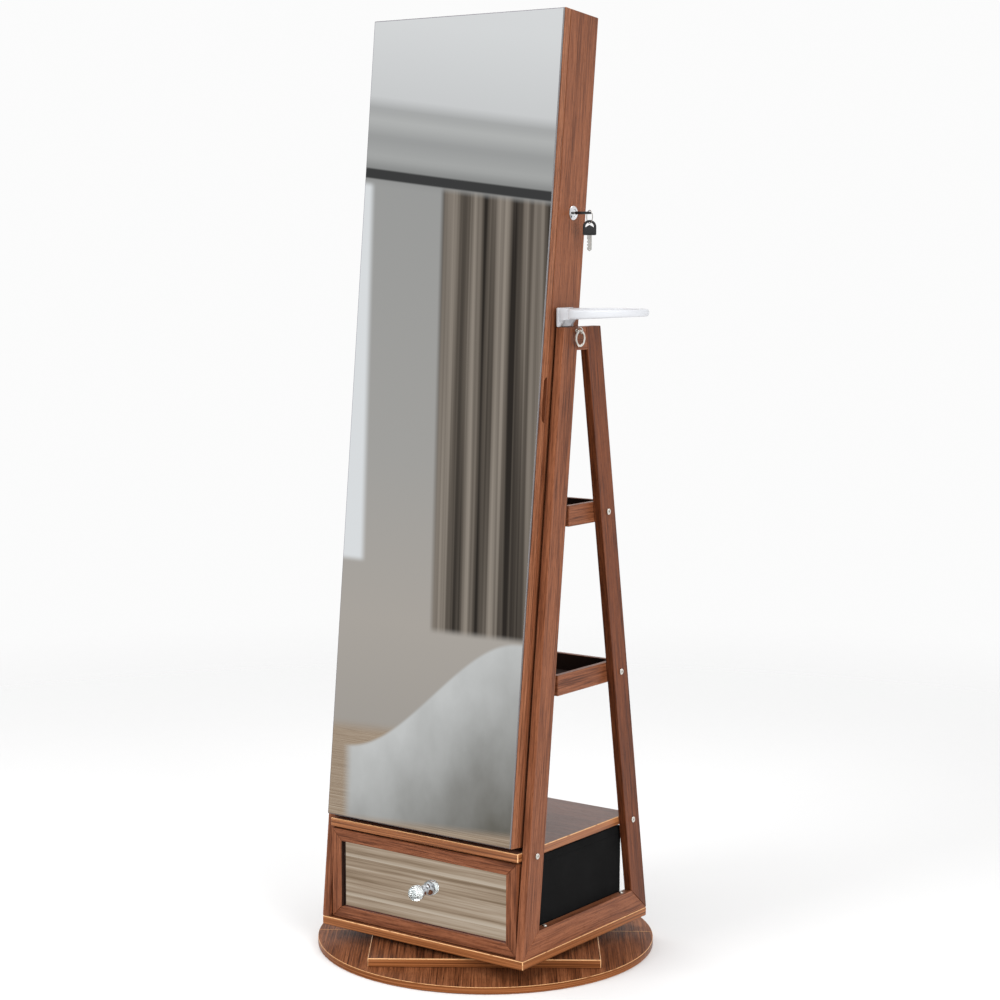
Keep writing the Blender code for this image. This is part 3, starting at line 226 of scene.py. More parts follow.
def wood_colour(point, turn, tones, seed, length=1.0):
    """Streaky laminate colour, and the values of its streaks and pores."""
    shift = tuple(seed * part for part in SEED_SHIFT)

    def figure(size, **settings):
        width, run = size
        return noise(point, (width, width, run * length), turn, shift, **settings)

    broad = times(figure(BROAD_SIZE, detail=3.0), BROAD_SHARE)
    streak = figure(STREAK_SIZE, detail=5.0, roughness=0.62)
    value = plus(broad, times(streak, 1 - BROAD_SHARE))
    colour = ramp(value, list(zip(WOOD_STOPS, tones)))
    pores = step(figure(PORE_SIZE), *PORE_RANGE)
    colour = mix(times(pores, PORE_SHARE), colour, tones[0])
    return colour, streak, pores


def finish_wood(shader, streak, pores, rough, gloss=0.25):
    """Satin sheen that is duller in the pores, and the relief of the grain."""
    sheen = plus(times(streak, 0.16), rough - 0.08)
    sheen = plus(sheen, times(pores, 0.12))
    connect(shader, {"Roughness": sheen, "Specular IOR Level": gloss})
    height = minus(times(streak, 0.5), pores)
    bump(shader, height, GRAIN_DEPTH, 0.5)


def plain_board(node, turn, seed, tones=WALNUT):
    """Board in wood-grain laminate with its grain along z of the turned frame."""
    made, shader, point, _ = new_material(f"wood_{node}")
    colour, streak, pores = wood_colour(point, turn, tones, seed)
    connect(shader, {"Base Color": colour})
    finish_wood(shader, streak, pores, 0.46)
    paint(node, made)


def arris_share(slope):
    """1 on the narrow facet of an arris, by how far it turns to the neighbouring face."""
    return times(step(slope, 0.97, 0.90), step(slope, 0.08, 0.25))


def banded_board(node, turn, seed, tones=WALNUT, rough=0.38, edging=BANDING, gloss=0.25,
                 length=1.0, side=None):
    """Flat board: laminate on its two faces and streaky banding round its edge.

    Its upper arris has a painted tan highlight line, broken into patches by noise, and with a side
    direction its upright corners too.
    """
    made, shader, point, normal = new_material(f"wood_{node}")
    colour, streak, pores = wood_colour(point, turn, tones, seed, length)
    edge_value = noise(point, EDGE_STREAK, shift=(seed, 0, 0), detail=3.0)
    edge = ramp(edge_value, list(zip(EDGE_STOPS, edging)))
    rising = along(normal, (0, 0, 1))
    upright = calc("ABSOLUTE", rising)
    colour = mix(step(upright, 0.96, 0.90), colour, edge)
    # Painted highlight: a tan line on the arris facets, in patches
    arris = arris_share(rising)
    if side:
        corner = arris_share(calc("ABSOLUTE", along(normal, side)))
        arris = calc("MAXIMUM", arris, times(corner, step(upright, 0.70, 0.40)))
    highlight_breaks = noise(point, HIGHLIGHT_BREAK_SIZE, shift=(0, seed, 0), detail=4.0)
    arris = times(arris, step(highlight_breaks, 0.20, 0.50))
    connect(shader, {"Base Color": mix(arris, colour, ARRIS_HIGHLIGHT_TAN)})
    finish_wood(shader, streak, pores, rough, gloss)
    paint(node, made)


def lined_board(node, turn, seed, inside, lining_and_shade=FELT_BLACK, wrapped=False):
    """Laminate whose inner faces, where inside(point, normal) is 1, take a flocked dark colour: a felt
    lining on the cabinet, painted shade on the drawer rails, and both in the trays.

    Wrapped laminate turns its grain along X on the faces to the front and rear.
    """
    made, shader, point, normal = new_material(f"wood_{node}")
    colour, streak, pores = wood_colour(point, turn, WALNUT, seed)
    if wrapped:
        endwise = step(calc("ABSOLUTE", along(normal, (0, 1, 0))), 0.6, 0.8)
        colour = mix(endwise, colour, wood_colour(point, GRAIN_ACROSS, WALNUT, seed + 5)[0])
    share = inside(point, normal)
    # The dark inner colour is a felt lining on some boards and painted shade on others
    felt_and_shade = mix(noise(point, FLOCK_SIZE, detail=3.0), lining_and_shade, shade(lining_and_shade, 2.2))
    connect(shader, {"Base Color": mix(share, colour, felt_and_shade)})
    finish_wood(shader, streak, pores, 0.40)
    roughness = shader.inputs["Roughness"].links[0].from_socket
    connect(shader, {"Roughness": calc("MAXIMUM", roughness, share)})
    paint(node, made)


def facing(axis):
    """Inner faces are those that face along an axis."""
    return lambda point, normal: step(along(normal, axis), 0.5, 0.7)


def within(low, high):
    """Inner faces are those inside a box of the frame at rest."""
    def inside(point, normal):
        parts = add(point.id_data, "ShaderNodeSeparateXYZ", {0: point})
        share = 1.0
        for axis in range(3):
            above = calc("GREATER_THAN", parts[axis], low[axis])
            below = calc("LESS_THAN", parts[axis], high[axis])
            share = times(share, times(above, below))
        return share
    return inside


# Other finishes

MIRROR_LINE = 0.0016
MIRROR_HAZE = 0.012
MARK_SIZE = (0.0006, 0.0006, 0.006)
MARK_DEPTH = 0.00003
STAIN_SIZE = 0.006
PIT_DEPTH = 0.00004
WEAVE_DEPTH = 0.00022
FIBRE_SIZE = 0.0008


def mirror(name, up, low, high, seed):
    """Silvered glass with ground edges, a thin line round the part that shows and faint haze.

    The part that shows runs from low to high, each an (x, height along up) pair.
    """
    made, shader, point, normal = new_material(name)
    forward = calc("ABSOLUTE", along(normal, (0, 1, 0)))
    edge = step(forward, 0.97, 0.90)
    nearest = 1.0
    for axis, start, end in zip(((1, 0, 0), up), low, high):
        place = along(point, axis)
        nearest = calc("MINIMUM", nearest, minus(place, start))
        nearest = calc("MINIMUM", nearest, minus(end, place))
    line = step(nearest, MIRROR_LINE, 0.7 * MIRROR_LINE)
    cloud = noise(point, (0.11, 0.11, 0.16), shift=(seed, 0, 0), detail=4.0)
    haze = times(step(cloud, 0.45, 0.80), MIRROR_HAZE)
    connect(shader, {
        "Base Color": mix(edge, mix(line, SILVER, SILVER_LINE), GROUND_EDGE),
        "Roughness": plus(haze, times(edge, 0.25)),
        "Metallic": minus(1.0, times(edge, 0.6))})
    return made


def dress_mirrors():
    """Door mirror without the line along its right edge, and the drawer's mirror inside its rails."""
    up = CABINET.col[2].xyz
    low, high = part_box("door_mirror")
    heights = [vert.co.dot(up) for vert in NODES["door_mirror"].data.vertices]
    right = high.x + MIRROR_LINE
    paint("door_mirror", mirror("mirror_door", up, (low.x, min(heights)), (right, max(heights)), 3))
    low = (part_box("drawer_left_rail")[1].x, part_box("drawer_bottom_rail")[1].z)
    high = (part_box("drawer_right_rail")[0].x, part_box("drawer_top_rail")[0].z)
    paint("drawer_mirror", mirror("mirror_drawer", (0, 0, 1), low, high, 7))


def metal(name, colour, rough, spread):
    """Plated metal with fine drawn marks and slight tarnish."""
    made, shader, point, _ = new_material(name)
    marks = noise(point, MARK_SIZE, detail=3.0)
    stain = noise(point, STAIN_SIZE, detail=4.0)
    connect(shader, {
        "Base Color": mix(step(stain, 0.35, 0.75), colour, shade(colour, 0.82)),
        "Metallic": 1.0,
        "Roughness": plus(rough - spread / 2, times(marks, spread))})
    bump(shader, marks, MARK_DEPTH, 0.4)
    return made


def plastic(name, colour, rough, grain=0.0006):
    """Moulded plastic with a fine spark-eroded grain."""
    made, shader, point, _ = new_material(name)
    cloud = noise(point, 0.02, detail=3.0)
    pits = noise(point, grain)
    connect(shader, {
        "Base Color": mix(cloud, colour, shade(colour, 0.94)),
        "Roughness": plus(rough - 0.05, times(pits, 0.1))})
    bump(shader, pits, PIT_DEPTH, 0.35)
    return made


def fabric(name, colour, pitch, sheen, gloss=0.5):
    """Matte cloth: crossing threads, fibre noise and a soft sheen."""
    made, shader, point, _ = new_material(name)
    parts = add(point.id_data, "ShaderNodeSeparateXYZ", {0: point})
    turn = tau / pitch
    across = calc("SINE", times(plus(parts[0], parts[1]), turn))
    upward = calc("SINE", times(parts[2], turn))
    weave = times(across, upward)
    fibre = noise(point, FIBRE_SIZE, detail=4.0)
    cloud = noise(point, 0.05, detail=3.0)
    tint = plus(times(fibre, 0.6), times(cloud, 0.4))
    connect(shader, {
        "Base Color": mix(step(tint, 0.3, 0.75), colour, shade(colour, 2.0)),
        "Roughness": 0.95,
        "Specular IOR Level": gloss,
        "Sheen Weight": sheen,
        "Sheen Roughness": 0.5})
    bump(shader, plus(times(weave, 0.4), fibre), WEAVE_DEPTH, 0.5)
    return made


def crystal(name):
    """Cut acrylic: clear with a milky haze."""
    made, shader, point, _ = new_material(name)
    haze = step(noise(point, 0.004), 0.5, 0.9)
    connect(shader, {
        "Base Color": (0.90, 0.94, 0.93, 1.0),
        "Roughness": plus(0.02, times(haze, 0.04)),
        "Transmission Weight": 0.86,
        "IOR": 1.49})
    return made


# Grain, first seed, tones and nodes of the plain boards
PLAIN_BOARDS = (
    (GRAIN_CABINET, 1, WALNUT, ("left_front_post", "right_front_post", "left_spacer", "right_spacer")),
    # The rear posts' darker walnut is painted shade
    (GRAIN_REAR_POST, 11, SHADED_REAR_WALNUT, ("left_rear_post", "right_rear_post")),
    (GRAIN_BACK, 21, WALNUT, ("left_bottom_rail", "right_bottom_rail", "left_cross_rail",
                              "right_cross_rail")),
    (GRAIN_ACROSS, 41, WALNUT, ("cabinet_top", "cabinet_bottom", "necklace_rail", "inner_shelf",
                                "drawer_top_rail", "drawer_bottom_rail")),
    # The door panel's lighter walnut is a painted highlight
    (GRAIN_CABINET, 51, LIT_DOOR_WALNUT, ("door_panel",)))
TRAY_WALL = 0.010
TRAY_FLOOR = 0.006
# How far the box of the dark inside (felt and painted shade) reaches into the walls, so that their inner
# faces lie in it
SKIN = 0.0005


def dress_wood():
    for grain, first, tones, nodes in PLAIN_BOARDS:
        for seed, node in enumerate(nodes, first):
            plain_board(node, grain, seed, tones)
    inward = {"left": (1, 0, 0), "right": (-1, 0, 0)}
    for seed, word in enumerate(inward, 31):
        # The rails' inner faces take painted shade: the shadow in the drawer front's recess
        lined_board(f"drawer_{word}_rail", GRAIN_UP, seed, facing(inward[word]), RECESS_SHADE_BROWN)
    for seed, word in enumerate(inward, 81):
        lined_board(f"cabinet_{word}_side", GRAIN_CABINET, seed, facing(inward[word]))
    front = Euler((-LEAN, 0, 0)).to_matrix() @ Vector((0, -1, 0))
    lined_board("cabinet_back", GRAIN_CABINET, 83, facing(front))
    banded_board("bottom_board", GRAIN_ACROSS, 61, side=(1, 0, 0))
    banded_board("shelf_board", GRAIN_ACROSS, 62, SHELF_WALNUT, 0.40, gloss=0.6, side=(1, 0, 0))
    for seed, node in enumerate(("base_half_front", "base_half_rear"), 71):
        banded_board(node, GRAIN_BASE, seed, DARK_WALNUT, 0.34, DISC_BANDING, 0.05, 2.0)
    side = (cos(BASE_TURN), sin(BASE_TURN), 0.0)
    banded_board("base_plate", GRAIN_BASE, 73, DARK_WALNUT, 0.34, length=2.0, side=side)
    for seed, node in enumerate(("lower_tray", "upper_tray"), 91):
        dress_tray(node, seed)


def dress_tray(node, seed):
    """Tray in laminate with a dark inside: a felt lining, and painted shade on its inner walls."""
    low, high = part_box(node)
    inner_low = low + Vector((TRAY_WALL - SKIN, TRAY_WALL - SKIN, TRAY_FLOOR - SKIN))
    inner_high = high - Vector((TRAY_WALL - SKIN, TRAY_WALL - SKIN, 2 * SKIN))
    lined_board(node, GRAIN_BACK, seed, within(inner_low, inner_high), TRAY_FELT_AND_SHADE, wrapped=True)


# New pieces

SMOOTH_LIMIT = radians(38)
# Gap under a piece that stands on a board
FIT = 0.0003


def polar(radius, angle):
    return radius * cos(angle), radius * sin(angle)


def arc(radius, start, end, steps, centre=(0.0, 0.0)):
    """Points of an arc, both ends included."""
    made = []
    for k in range(steps + 1):
        x, y = polar(radius, start + (end - start) * k / steps)
        made.append((centre[0] + x, centre[1] + y))
    return made


def fillet(points, radius, steps=5):
    """Closed outline with its sharp corners rounded."""
    made = []
    for k, corner in enumerate(points):
        middle = Vector(corner)
        before = Vector(points[k - 1]) - middle
        after = Vector(points[(k + 1) % len(points)]) - middle
        angle = before.angle(after)
        if angle > radians(150):
            made.append(tuple(middle))
            continue
        reach = min(radius / tan(angle / 2), 0.45 * before.length, 0.45 * after.length)
        start = middle + reach * before.normalized()
        end = middle + reach * after.normalized()
        for j in range(steps + 1):
            t = j / steps
            made.append(tuple((1 - t) ** 2 * start + 2 * t * (1 - t) * middle + t * t * end))
    return made


def loft(work, rings, wrap=False, place=Matrix.Identity(4)):
    """Skin over closed rings of points, capped at its ends unless it wraps round."""
    loops = [[work.verts.new(place @ Vector(point)) for point in ring] for ring in rings]
    following = loops[1:] + loops[:1] if wrap else loops[1:]
    for first, second in zip(loops, following):
        for k in range(len(first)):
            work.faces.new((first[k - 1], first[k], second[k], second[k - 1]))
    if not wrap:
        work.faces.new(loops[0])
        work.faces.new(loops[-1])


def around(steps):
    """Even angles round a circle."""
    return [tau * k / steps for k in range(steps)]


def round_rings(profile, steps):
    """Rings round local z from (radius, height) points."""
    return [[(*polar(radius, turn), height) for turn in around(steps)] for radius, height in profile]


def lathe(work, profile, place, steps, wrap=False):
    """Turned solid with flat ends, or without ends where the profile closes."""
    loft(work, round_rings(profile, steps), wrap, place)


def torus(work, radius, wire, place, steps=96, sides=16):
    """Round wire ring in local x, y."""
    rings = []
    for turn in around(steps):
        section = []
        for side in around(sides):
            out, up = polar(wire, side)
            section.append((*polar(radius + out, turn), up))
        rings.append(section)
    loft(work, rings, wrap=True, place=place)


def plate(work, outlines, thickness, edge, place):
    """Flat piece with rounded edges in local x, y; the outlines after the first are holes."""
    curve = bpy.data.curves.new("plate", "CURVE")
    curve.dimensions = "2D"
    curve.fill_mode = "BOTH"
    curve.extrude = thickness / 2 - edge
    curve.bevel_depth = edge
    curve.bevel_resolution = 2
    curve.offset = -edge
    for outline in outlines:
        spline = curve.splines.new("POLY")
        spline.points.add(len(outline) - 1)
        for point, (x, y) in zip(spline.points, outline):
            point.co = (x, y, 0.0, 1.0)
        spline.use_cyclic_u = True
    holder = bpy.data.objects.new("plate", curve)
    mesh = bpy.data.meshes.new_from_object(holder)
    bpy.data.objects.remove(holder)
    bpy.data.curves.remove(curve)
    mesh.transform(place)
    work.from_mesh(mesh)
    bpy.data.meshes.remove(mesh)
    bmesh.ops.remove_doubles(work, verts=work.verts, dist=1e-6)


def new_object(name, data):
    made = bpy.data.objects.new(name, data)
    bpy.context.scene.collection.objects.link(made)
    return made


def piece(work, name, body, slot, look, *nodes, limit=SMOOTH_LIMIT):
    """New object that rides on a body, takes the given look as its finish and stands for CAD nodes, which
    it hides. Its slot argument is not used.
    """
    bmesh.ops.recalc_face_normals(work, faces=work.faces)
    mesh = bpy.data.meshes.new(name)
    work.to_mesh(mesh)
    work.free()
    mesh.shade_smooth()
    mesh.set_sharp_from_angle(angle=limit)
    mesh.materials.append(look)
    made = new_object(name, mesh)
    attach(made, body)
    if nodes:
        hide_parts(*nodes)
    return made


def turned(at, angle, axis):
    """Frame at a point, turned about an axis."""
    return Matrix.Translation(at) @ Matrix.Rotation(angle, 4, axis)


def facing_x(at, side):
    """Frame at a point whose z runs along +X or -X."""
    return turned(at, side * pi / 2, "Y")


def facing_front(at):
    """Frame at a point whose z runs to the front, along -Y."""
    return turned(at, pi / 2, "X")


def middle_of(node):
    low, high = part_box(node)
    return (low + high) / 2


# Drawer knob

KNOB_FOOT = 0.0088
KNOB_FOOT_HEIGHT = 0.0032
KNOB_NECK = 0.0045
KNOB_CUP = 0.0128
KNOB_LENGTH = 0.0165
KNOB_STUD = 0.002
KNOB_LIP = 0.0014
KNOB_ROUND = 0.0008
KNOB_CHAMFER = 0.0004
# Angle from the pole in degrees, and number of points, of each row of facet corners
FACET_ROWS = ((20, 6), (44, 10), (68, 10), (92, 10), (116, 10), (140, 10), (164, 6))


def knob_profile(stud_length):
    """Radius and height of the turned base from its stud's end to its cup."""
    profile = [(KNOB_STUD, -stud_length), (KNOB_STUD, FIT), (KNOB_FOOT - FIT, FIT)]
    centre = (KNOB_FOOT - KNOB_ROUND, KNOB_FOOT_HEIGHT - KNOB_ROUND)
    profile += [(KNOB_FOOT, 2 * FIT)] + arc(KNOB_ROUND, 0.0, pi / 2, 5, centre)
    for k in range(17):
        turn = pi / 2 * (1 - k / 16)
        profile.append((KNOB_NECK + (KNOB_CUP - KNOB_NECK) * (1 - sin(turn)),
                        KNOB_FOOT_HEIGHT + (KNOB_LENGTH - KNOB_LIP - KNOB_FOOT_HEIGHT) * cos(turn)))
    return profile + [(KNOB_CUP, KNOB_LENGTH - KNOB_CHAMFER), (KNOB_CUP - KNOB_CHAMFER, KNOB_LENGTH)]


def build_knob(chrome, glass):
    low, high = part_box("knob_base")
    face = low.y + KNOB_LENGTH
    work = bmesh.new()
    lathe(work, knob_profile(high.y - face), facing_front((0, face, middle_of("knob_base").z)), 72)
    piece(work, "turned_knob_base", "drawer", "chrome", chrome, "knob_base")
    low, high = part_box("knob_crystal")
    radius = (high.x - low.x) / 2
    work = bmesh.new()
    place = facing_front((0, low.y + radius, middle_of("knob_crystal").z))
    for row, (degrees, count) in enumerate(FACET_ROWS):
        height, reach = polar(radius, radians(degrees))
        for k in range(count):
            turn = tau * (k + row % 2 / 2) / count
            work.verts.new(place @ Vector((*polar(reach, turn), height)))
    bmesh.ops.convex_hull(work, input=work.verts)
    cut = bmesh.ops.bisect_plane(work, geom=work.verts[:] + work.edges[:] + work.faces[:],
                                 plane_co=(0, high.y, 0), plane_no=(0, 1, 0), clear_outer=True)
    rim = [item for item in cut["geom_cut"] if isinstance(item, bmesh.types.BMEdge)]
    bmesh.ops.edgeloop_fill(work, edges=rim)
    piece(work, "cut_crystal", "drawer", "crystal", glass, "knob_crystal", limit=0.0)


# Bolts and screws

BOLT_HEAD = 0.0054
BOLT_HEAD_HEIGHT = 0.0022
BOLT_SHANK = 0.003
BOLT_STEPS = 24
# Inset from the head's radius, and height, from the seat to the crown
BOLT_RIM = ((0.0002, 0.0), (0.0, 0.0002), (0.0, 0.0010), (0.0002, 0.0015), (0.0007, 0.0020),
            (0.0014, BOLT_HEAD_HEIGHT))
HEX_FLAT = 0.0019
HEX_CHAMFER = 0.0002
HEX_DEPTH = 0.0016
SCREW_SEAT = 0.0004
SCREW_STEPS = 48
# Shares of a cross-head screw's height
SCREW_RIM = 0.35
CROSS_DEPTH = 0.5
# Shares of its radius
CROSS_HALF = 0.17
CROSS_REACH = 0.62
RAIL_SCREW_X = 0.2085
RAIL_SCREW_Y = (-0.118, 0.119)
RAIL_SCREW_TURN = (0.4, 1.3)
RAIL_SCREW_RADIUS = 0.0042
RAIL_SCREW_HEIGHT = 0.0026
HINGE_SCREW_RADIUS = 0.0023
HINGE_SCREW_HEIGHT = 0.0008
HINGE_SCREW_SPREAD = 0.022
HINGE_LEAF_FACE = 0.00135
HINGE_LEAF_MIDDLE = 0.0088


def hexagon(angle, flat):
    """Point of a hexagon's edge in a direction."""
    off = (angle + pi / 6) % (pi / 3) - pi / 6
    return polar(flat / cos(off), angle)


def socket_bolt(work, place, shank):
    """Button-head bolt with a hexagon socket, its head's seat at z = 0."""
    profile = [(BOLT_SHANK, -shank), (BOLT_SHANK, 0)]
    profile += [(BOLT_HEAD - inset, height) for inset, height in BOLT_RIM]
    rings = round_rings(profile, BOLT_STEPS)
    socket = ((0.0, HEX_FLAT + HEX_CHAMFER), (HEX_CHAMFER, HEX_FLAT), (HEX_DEPTH, HEX_FLAT))
    for depth, flat in socket:
        rings.append([(*hexagon(turn, flat), BOLT_HEAD_HEIGHT - depth) for turn in around(BOLT_STEPS)])
    loft(work, rings, place=place)


def cross_screw(work, place, radius, height):
    """Pan-head screw with a cross recess."""
    rings = round_rings(((radius, -SCREW_SEAT), (radius, SCREW_RIM * height)), SCREW_STEPS)
    for k in range(1, 13):
        reach = radius * (1 - (k / 12.6) ** 1.3)
        crown = height * (SCREW_RIM + (1 - SCREW_RIM) * sqrt(1 - (reach / radius) ** 2))
        ring = []
        for turn in around(SCREW_STEPS):
            x, y = polar(reach, turn)
            narrow, wide = sorted((abs(x), abs(y)))
            sunk = narrow < CROSS_HALF * radius and wide < CROSS_REACH * radius
            ring.append((x, y, crown - (CROSS_DEPTH * height if sunk else 0.0)))
        rings.append(ring)
    loft(work, rings, place=place)


def build_fasteners(nickel):
    for node in [name for name in NODES if name.endswith("_bolt")]:
        low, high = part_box(node)
        middle = (low + high) / 2
        side = 1 if middle.x > 0 else -1
        outer = high.x if side > 0 else low.x
        work = bmesh.new()
        seat = (outer - side * BOLT_HEAD_HEIGHT, middle.y, middle.z)
        socket_bolt(work, facing_x(seat, side), high.x - low.x - BOLT_HEAD_HEIGHT)
        piece(work, f"socket_{node}", "turntable", "nickel", nickel, node)
    work = bmesh.new()
    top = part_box("right_bottom_rail")[1].z
    for x in (-RAIL_SCREW_X, RAIL_SCREW_X):
        for number, y in enumerate(RAIL_SCREW_Y):
            place = turned((x, y, top), RAIL_SCREW_TURN[number], "Z")
            cross_screw(work, place, RAIL_SCREW_RADIUS, RAIL_SCREW_HEIGHT)
    piece(work, "rail_screws", "turntable", "nickel", nickel)
    for word, body, side in (("frame", "turntable", 1), ("door", "door", -1)):
        work = bmesh.new()
        for end in ("lower", "upper"):
            low, high = lean_box(f"{end}_hinge_{word}_leaf")
            for k in (-1, 0, 1):
                height = (low.z + high.z) / 2 + k * HINGE_SCREW_SPREAD
                at = (HINGE_LEAF_FACE, side * HINGE_LEAF_MIDDLE, height)
                cross_screw(work, CABINET @ facing_x(at, -1), HINGE_SCREW_RADIUS, HINGE_SCREW_HEIGHT)
        piece(work, f"hinge_{word}_screws", body, "nickel", nickel)


# Lock, keys and rings

LOCK_BORE = 0.0058
LOCK_BARREL = 0.0085
LOCK_FACE = 0.0035
ROSETTE = ((0.0066, 0.0035), (0.0078, 0.0035), (0.0090, 0.0033), (0.0102, 0.0028), (0.0112, 0.0020),
           (0.0118, 0.0012), (0.0120, 0.0006), (0.0119, FIT))
KEY_STANDOFF = 0.0095
KEY_HALF = 0.011
KEY_STRAIGHT = 0.0135
KEY_THICKNESS = 0.004
KEY_HOLE = 0.0072
KEY_HOLE_BASE = -0.0010
KEY_PEAK = 0.0042
KEY_EDGE = 0.0007
KEY_PANEL_LIFT = 0.0003
KEY_PANEL_INSET = 0.0026
KEY_PANEL_GAP = 0.0018
KEY_CORNER = 0.0022
KEY_HOLE_CORNER = 0.0006
KEY_PANEL_CORNER = 0.0016
BLADE_ROOT = 0.003
BLADE_STEPS = 104
BLADE_LENGTH = 0.026
BLADE_HALF = 0.00375
BLADE_THICKNESS = 0.0016
BLADE_GROOVE = 0.0004
# Half widths of the groove at the face and at its floor
GROOVE_HALF = (0.0012, 0.0008)
NOTCH_DEPTH = 0.0018
NOTCHES = 3
# The hanging ring's wire is thicker than its solid's, outward from the same inside, and its eye is wider
RING_INSIDE = 0.0099
RING_WIRE = 0.0021
EYE_LOOP = 0.0049
EYE_WIRE = 0.0012
EYE_SHANK = 0.0010
EYE_STEM = 0.0011
EYE_TIP = 0.0003
EYE_POINT = 0.003
# Radius and height of the eye's collar on the post
EYE_COLLAR = ((EYE_SHANK, -0.0003), (0.0026, -0.0003), (0.0027, 0.0003), (0.0022, 0.0009), (0.0013, 0.0013),
              (EYE_STEM, 0.0018))
KEY_RING_WIRE = 0.0007
KEY_RING_TURN = radians(-30)
SPARE_TURN = radians(-45)


def key_hole(peak):
    """Half-round hole in the head, with its straight edge raised to a peak."""
    reach = acos(KEY_HOLE_BASE / KEY_HOLE)
    hole = arc(KEY_HOLE, -reach, reach, 24, (KEY_STRAIGHT, 0.0))
    if peak:
        hole.append((KEY_STRAIGHT + KEY_HOLE_BASE + peak, 0.0))
    return fillet(hole, KEY_HOLE_CORNER)


def key_head(work, place, peak):
    """Moulded D-shaped head with a panel standing proud of each face, below the hole."""
    crown = arc(KEY_HALF, -pi / 2, pi / 2, 32, (KEY_STRAIGHT, 0.0))
    head = [(0.0, KEY_HALF), (0.0, -KEY_HALF)] + crown
    plate(work, [fillet(head, KEY_CORNER), key_hole(peak)], KEY_THICKNESS, KEY_EDGE, place)
    inset = KEY_PANEL_INSET
    shoulder = KEY_STRAIGHT + KEY_HOLE_BASE - KEY_PANEL_GAP
    panel = [(inset, KEY_HALF - inset), (inset, inset - KEY_HALF), (shoulder, inset - KEY_HALF),
             (shoulder + peak, 0.0), (shoulder, KEY_HALF - inset)]
    thickness = KEY_THICKNESS + 2 * KEY_PANEL_LIFT
    plate(work, [fillet(panel, KEY_PANEL_CORNER)], thickness, KEY_PANEL_LIFT, place)


def key_blade(work, place):
    """Grooved blade with the bitting cut into one edge, tapering to its tip."""
    half = BLADE_THICKNESS / 2
    pitch = BLADE_LENGTH / (NOTCHES + 2)
    rings = []
    for k in range(BLADE_STEPS + 1):
        x = BLADE_ROOT - k * (BLADE_ROOT + BLADE_LENGTH) / BLADE_STEPS
        taper = min(1.0, 0.12 + (x + BLADE_LENGTH) / BLADE_HALF)
        notch = 0.0
        for j in range(NOTCHES):
            away = abs(x + (j + 1.5) * pitch) / (pitch / 3)
            notch = max(notch, NOTCH_DEPTH * (1 - away))
        low, high = -BLADE_HALF * taper, BLADE_HALF * taper - notch
        wide, narrow = min(GROOVE_HALF[0], high, -low), min(GROOVE_HALF[1], 0.7 * high, -0.7 * low)
        deep = half - BLADE_GROOVE * (1.0 if taper == 1.0 else 0.0)
        side = [(low, half), (-wide, half), (-narrow, deep), (narrow, deep), (wide, half), (high, half)]
        section = side + [(y, -z) for y, z in reversed(side)]
        rings.append([(x, y, z) for y, z in section])
    loft(work, rings, place=place)


def build_lock(chrome, steel, black):
    at = Vector(JOINTS["lock"]["pos_m"])
    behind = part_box("lock_housing")[0].x - at.x
    profile = [(LOCK_BORE, LOCK_FACE - 0.0004), (LOCK_BORE + 0.0003, LOCK_FACE), *ROSETTE]
    profile += [(LOCK_BARREL, FIT), (LOCK_BARREL, behind), (LOCK_BORE, behind)]
    work = bmesh.new()
    lathe(work, profile, facing_x(at, 1), 64, wrap=True)
    piece(work, "lock_rosette", "turntable", "chrome", chrome, "lock_housing")

    inserted = Matrix.Translation(at + Vector((KEY_STANDOFF, 0, 0)))
    low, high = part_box("spare_key")
    middle = (low + high) / 2
    upright = Matrix(((0, 0, 1), (0, -1, 0), (1, 0, 0))).to_4x4()
    spare = turned((middle.x, middle.y, low.z + BLADE_LENGTH), SPARE_TURN, "Z") @ upright
    keys = (("key", "key", inserted, 0.0), ("spare_key", "key_ring", spare, KEY_PEAK))
    for node, body, place, peak in keys:
        work = bmesh.new()
        key_head(work, place, peak)
        piece(work, f"{node}_head", body, "black_plastic", black, node)
        work = bmesh.new()
        key_blade(work, place)
        piece(work, f"{node}_blade", body, "nickel", steel, node)


def build_rings(nickel, steel):
    low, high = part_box("key_ring")
    place = turned((low + high) / 2, KEY_RING_TURN, "Z") @ facing_front((0, 0, 0))
    work = bmesh.new()
    torus(work, (high.z - low.z) / 2 - KEY_RING_WIRE, KEY_RING_WIRE, place, 72, 12)
    piece(work, "wire_key_ring", "key_ring", "nickel", steel, "key_ring")
    work = bmesh.new()
    torus(work, RING_INSIDE + RING_WIRE, RING_WIRE, facing_x(middle_of("hanging_ring"), 1))
    piece(work, "round_hanging_ring", "hanging_ring", "nickel", nickel, "hanging_ring")
    low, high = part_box("ring_eye")
    middle = (low + high) / 2
    loop = Vector((high.x - EYE_LOOP - EYE_WIRE, middle.y, middle.z))
    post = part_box("right_front_post")[1].x
    work = bmesh.new()
    torus(work, EYE_LOOP, EYE_WIRE, facing_front(loop), 48, 12)
    stem = loop.x - EYE_LOOP - post
    thread = post - low.x
    profile = [(EYE_TIP, -thread), (EYE_SHANK, -thread + EYE_POINT), *EYE_COLLAR, (EYE_STEM, stem + 0.0005)]
    lathe(work, profile, facing_x((post, middle.y, middle.z), 1), 24)
    piece(work, "screw_eye", "turntable", "nickel", nickel, "ring_eye")


# Hair-dryer holder

HOLDER_OUTER = 0.065
HOLDER_INNER = 0.050
HOLDER_NOSE = 0.0042
HOLDER_LIP = 0.0022
# How near to the ring's radius its rim edges lie, and how sharp they are at least
RIM_REACH = 0.0003
RIM_ANGLE = radians(35)


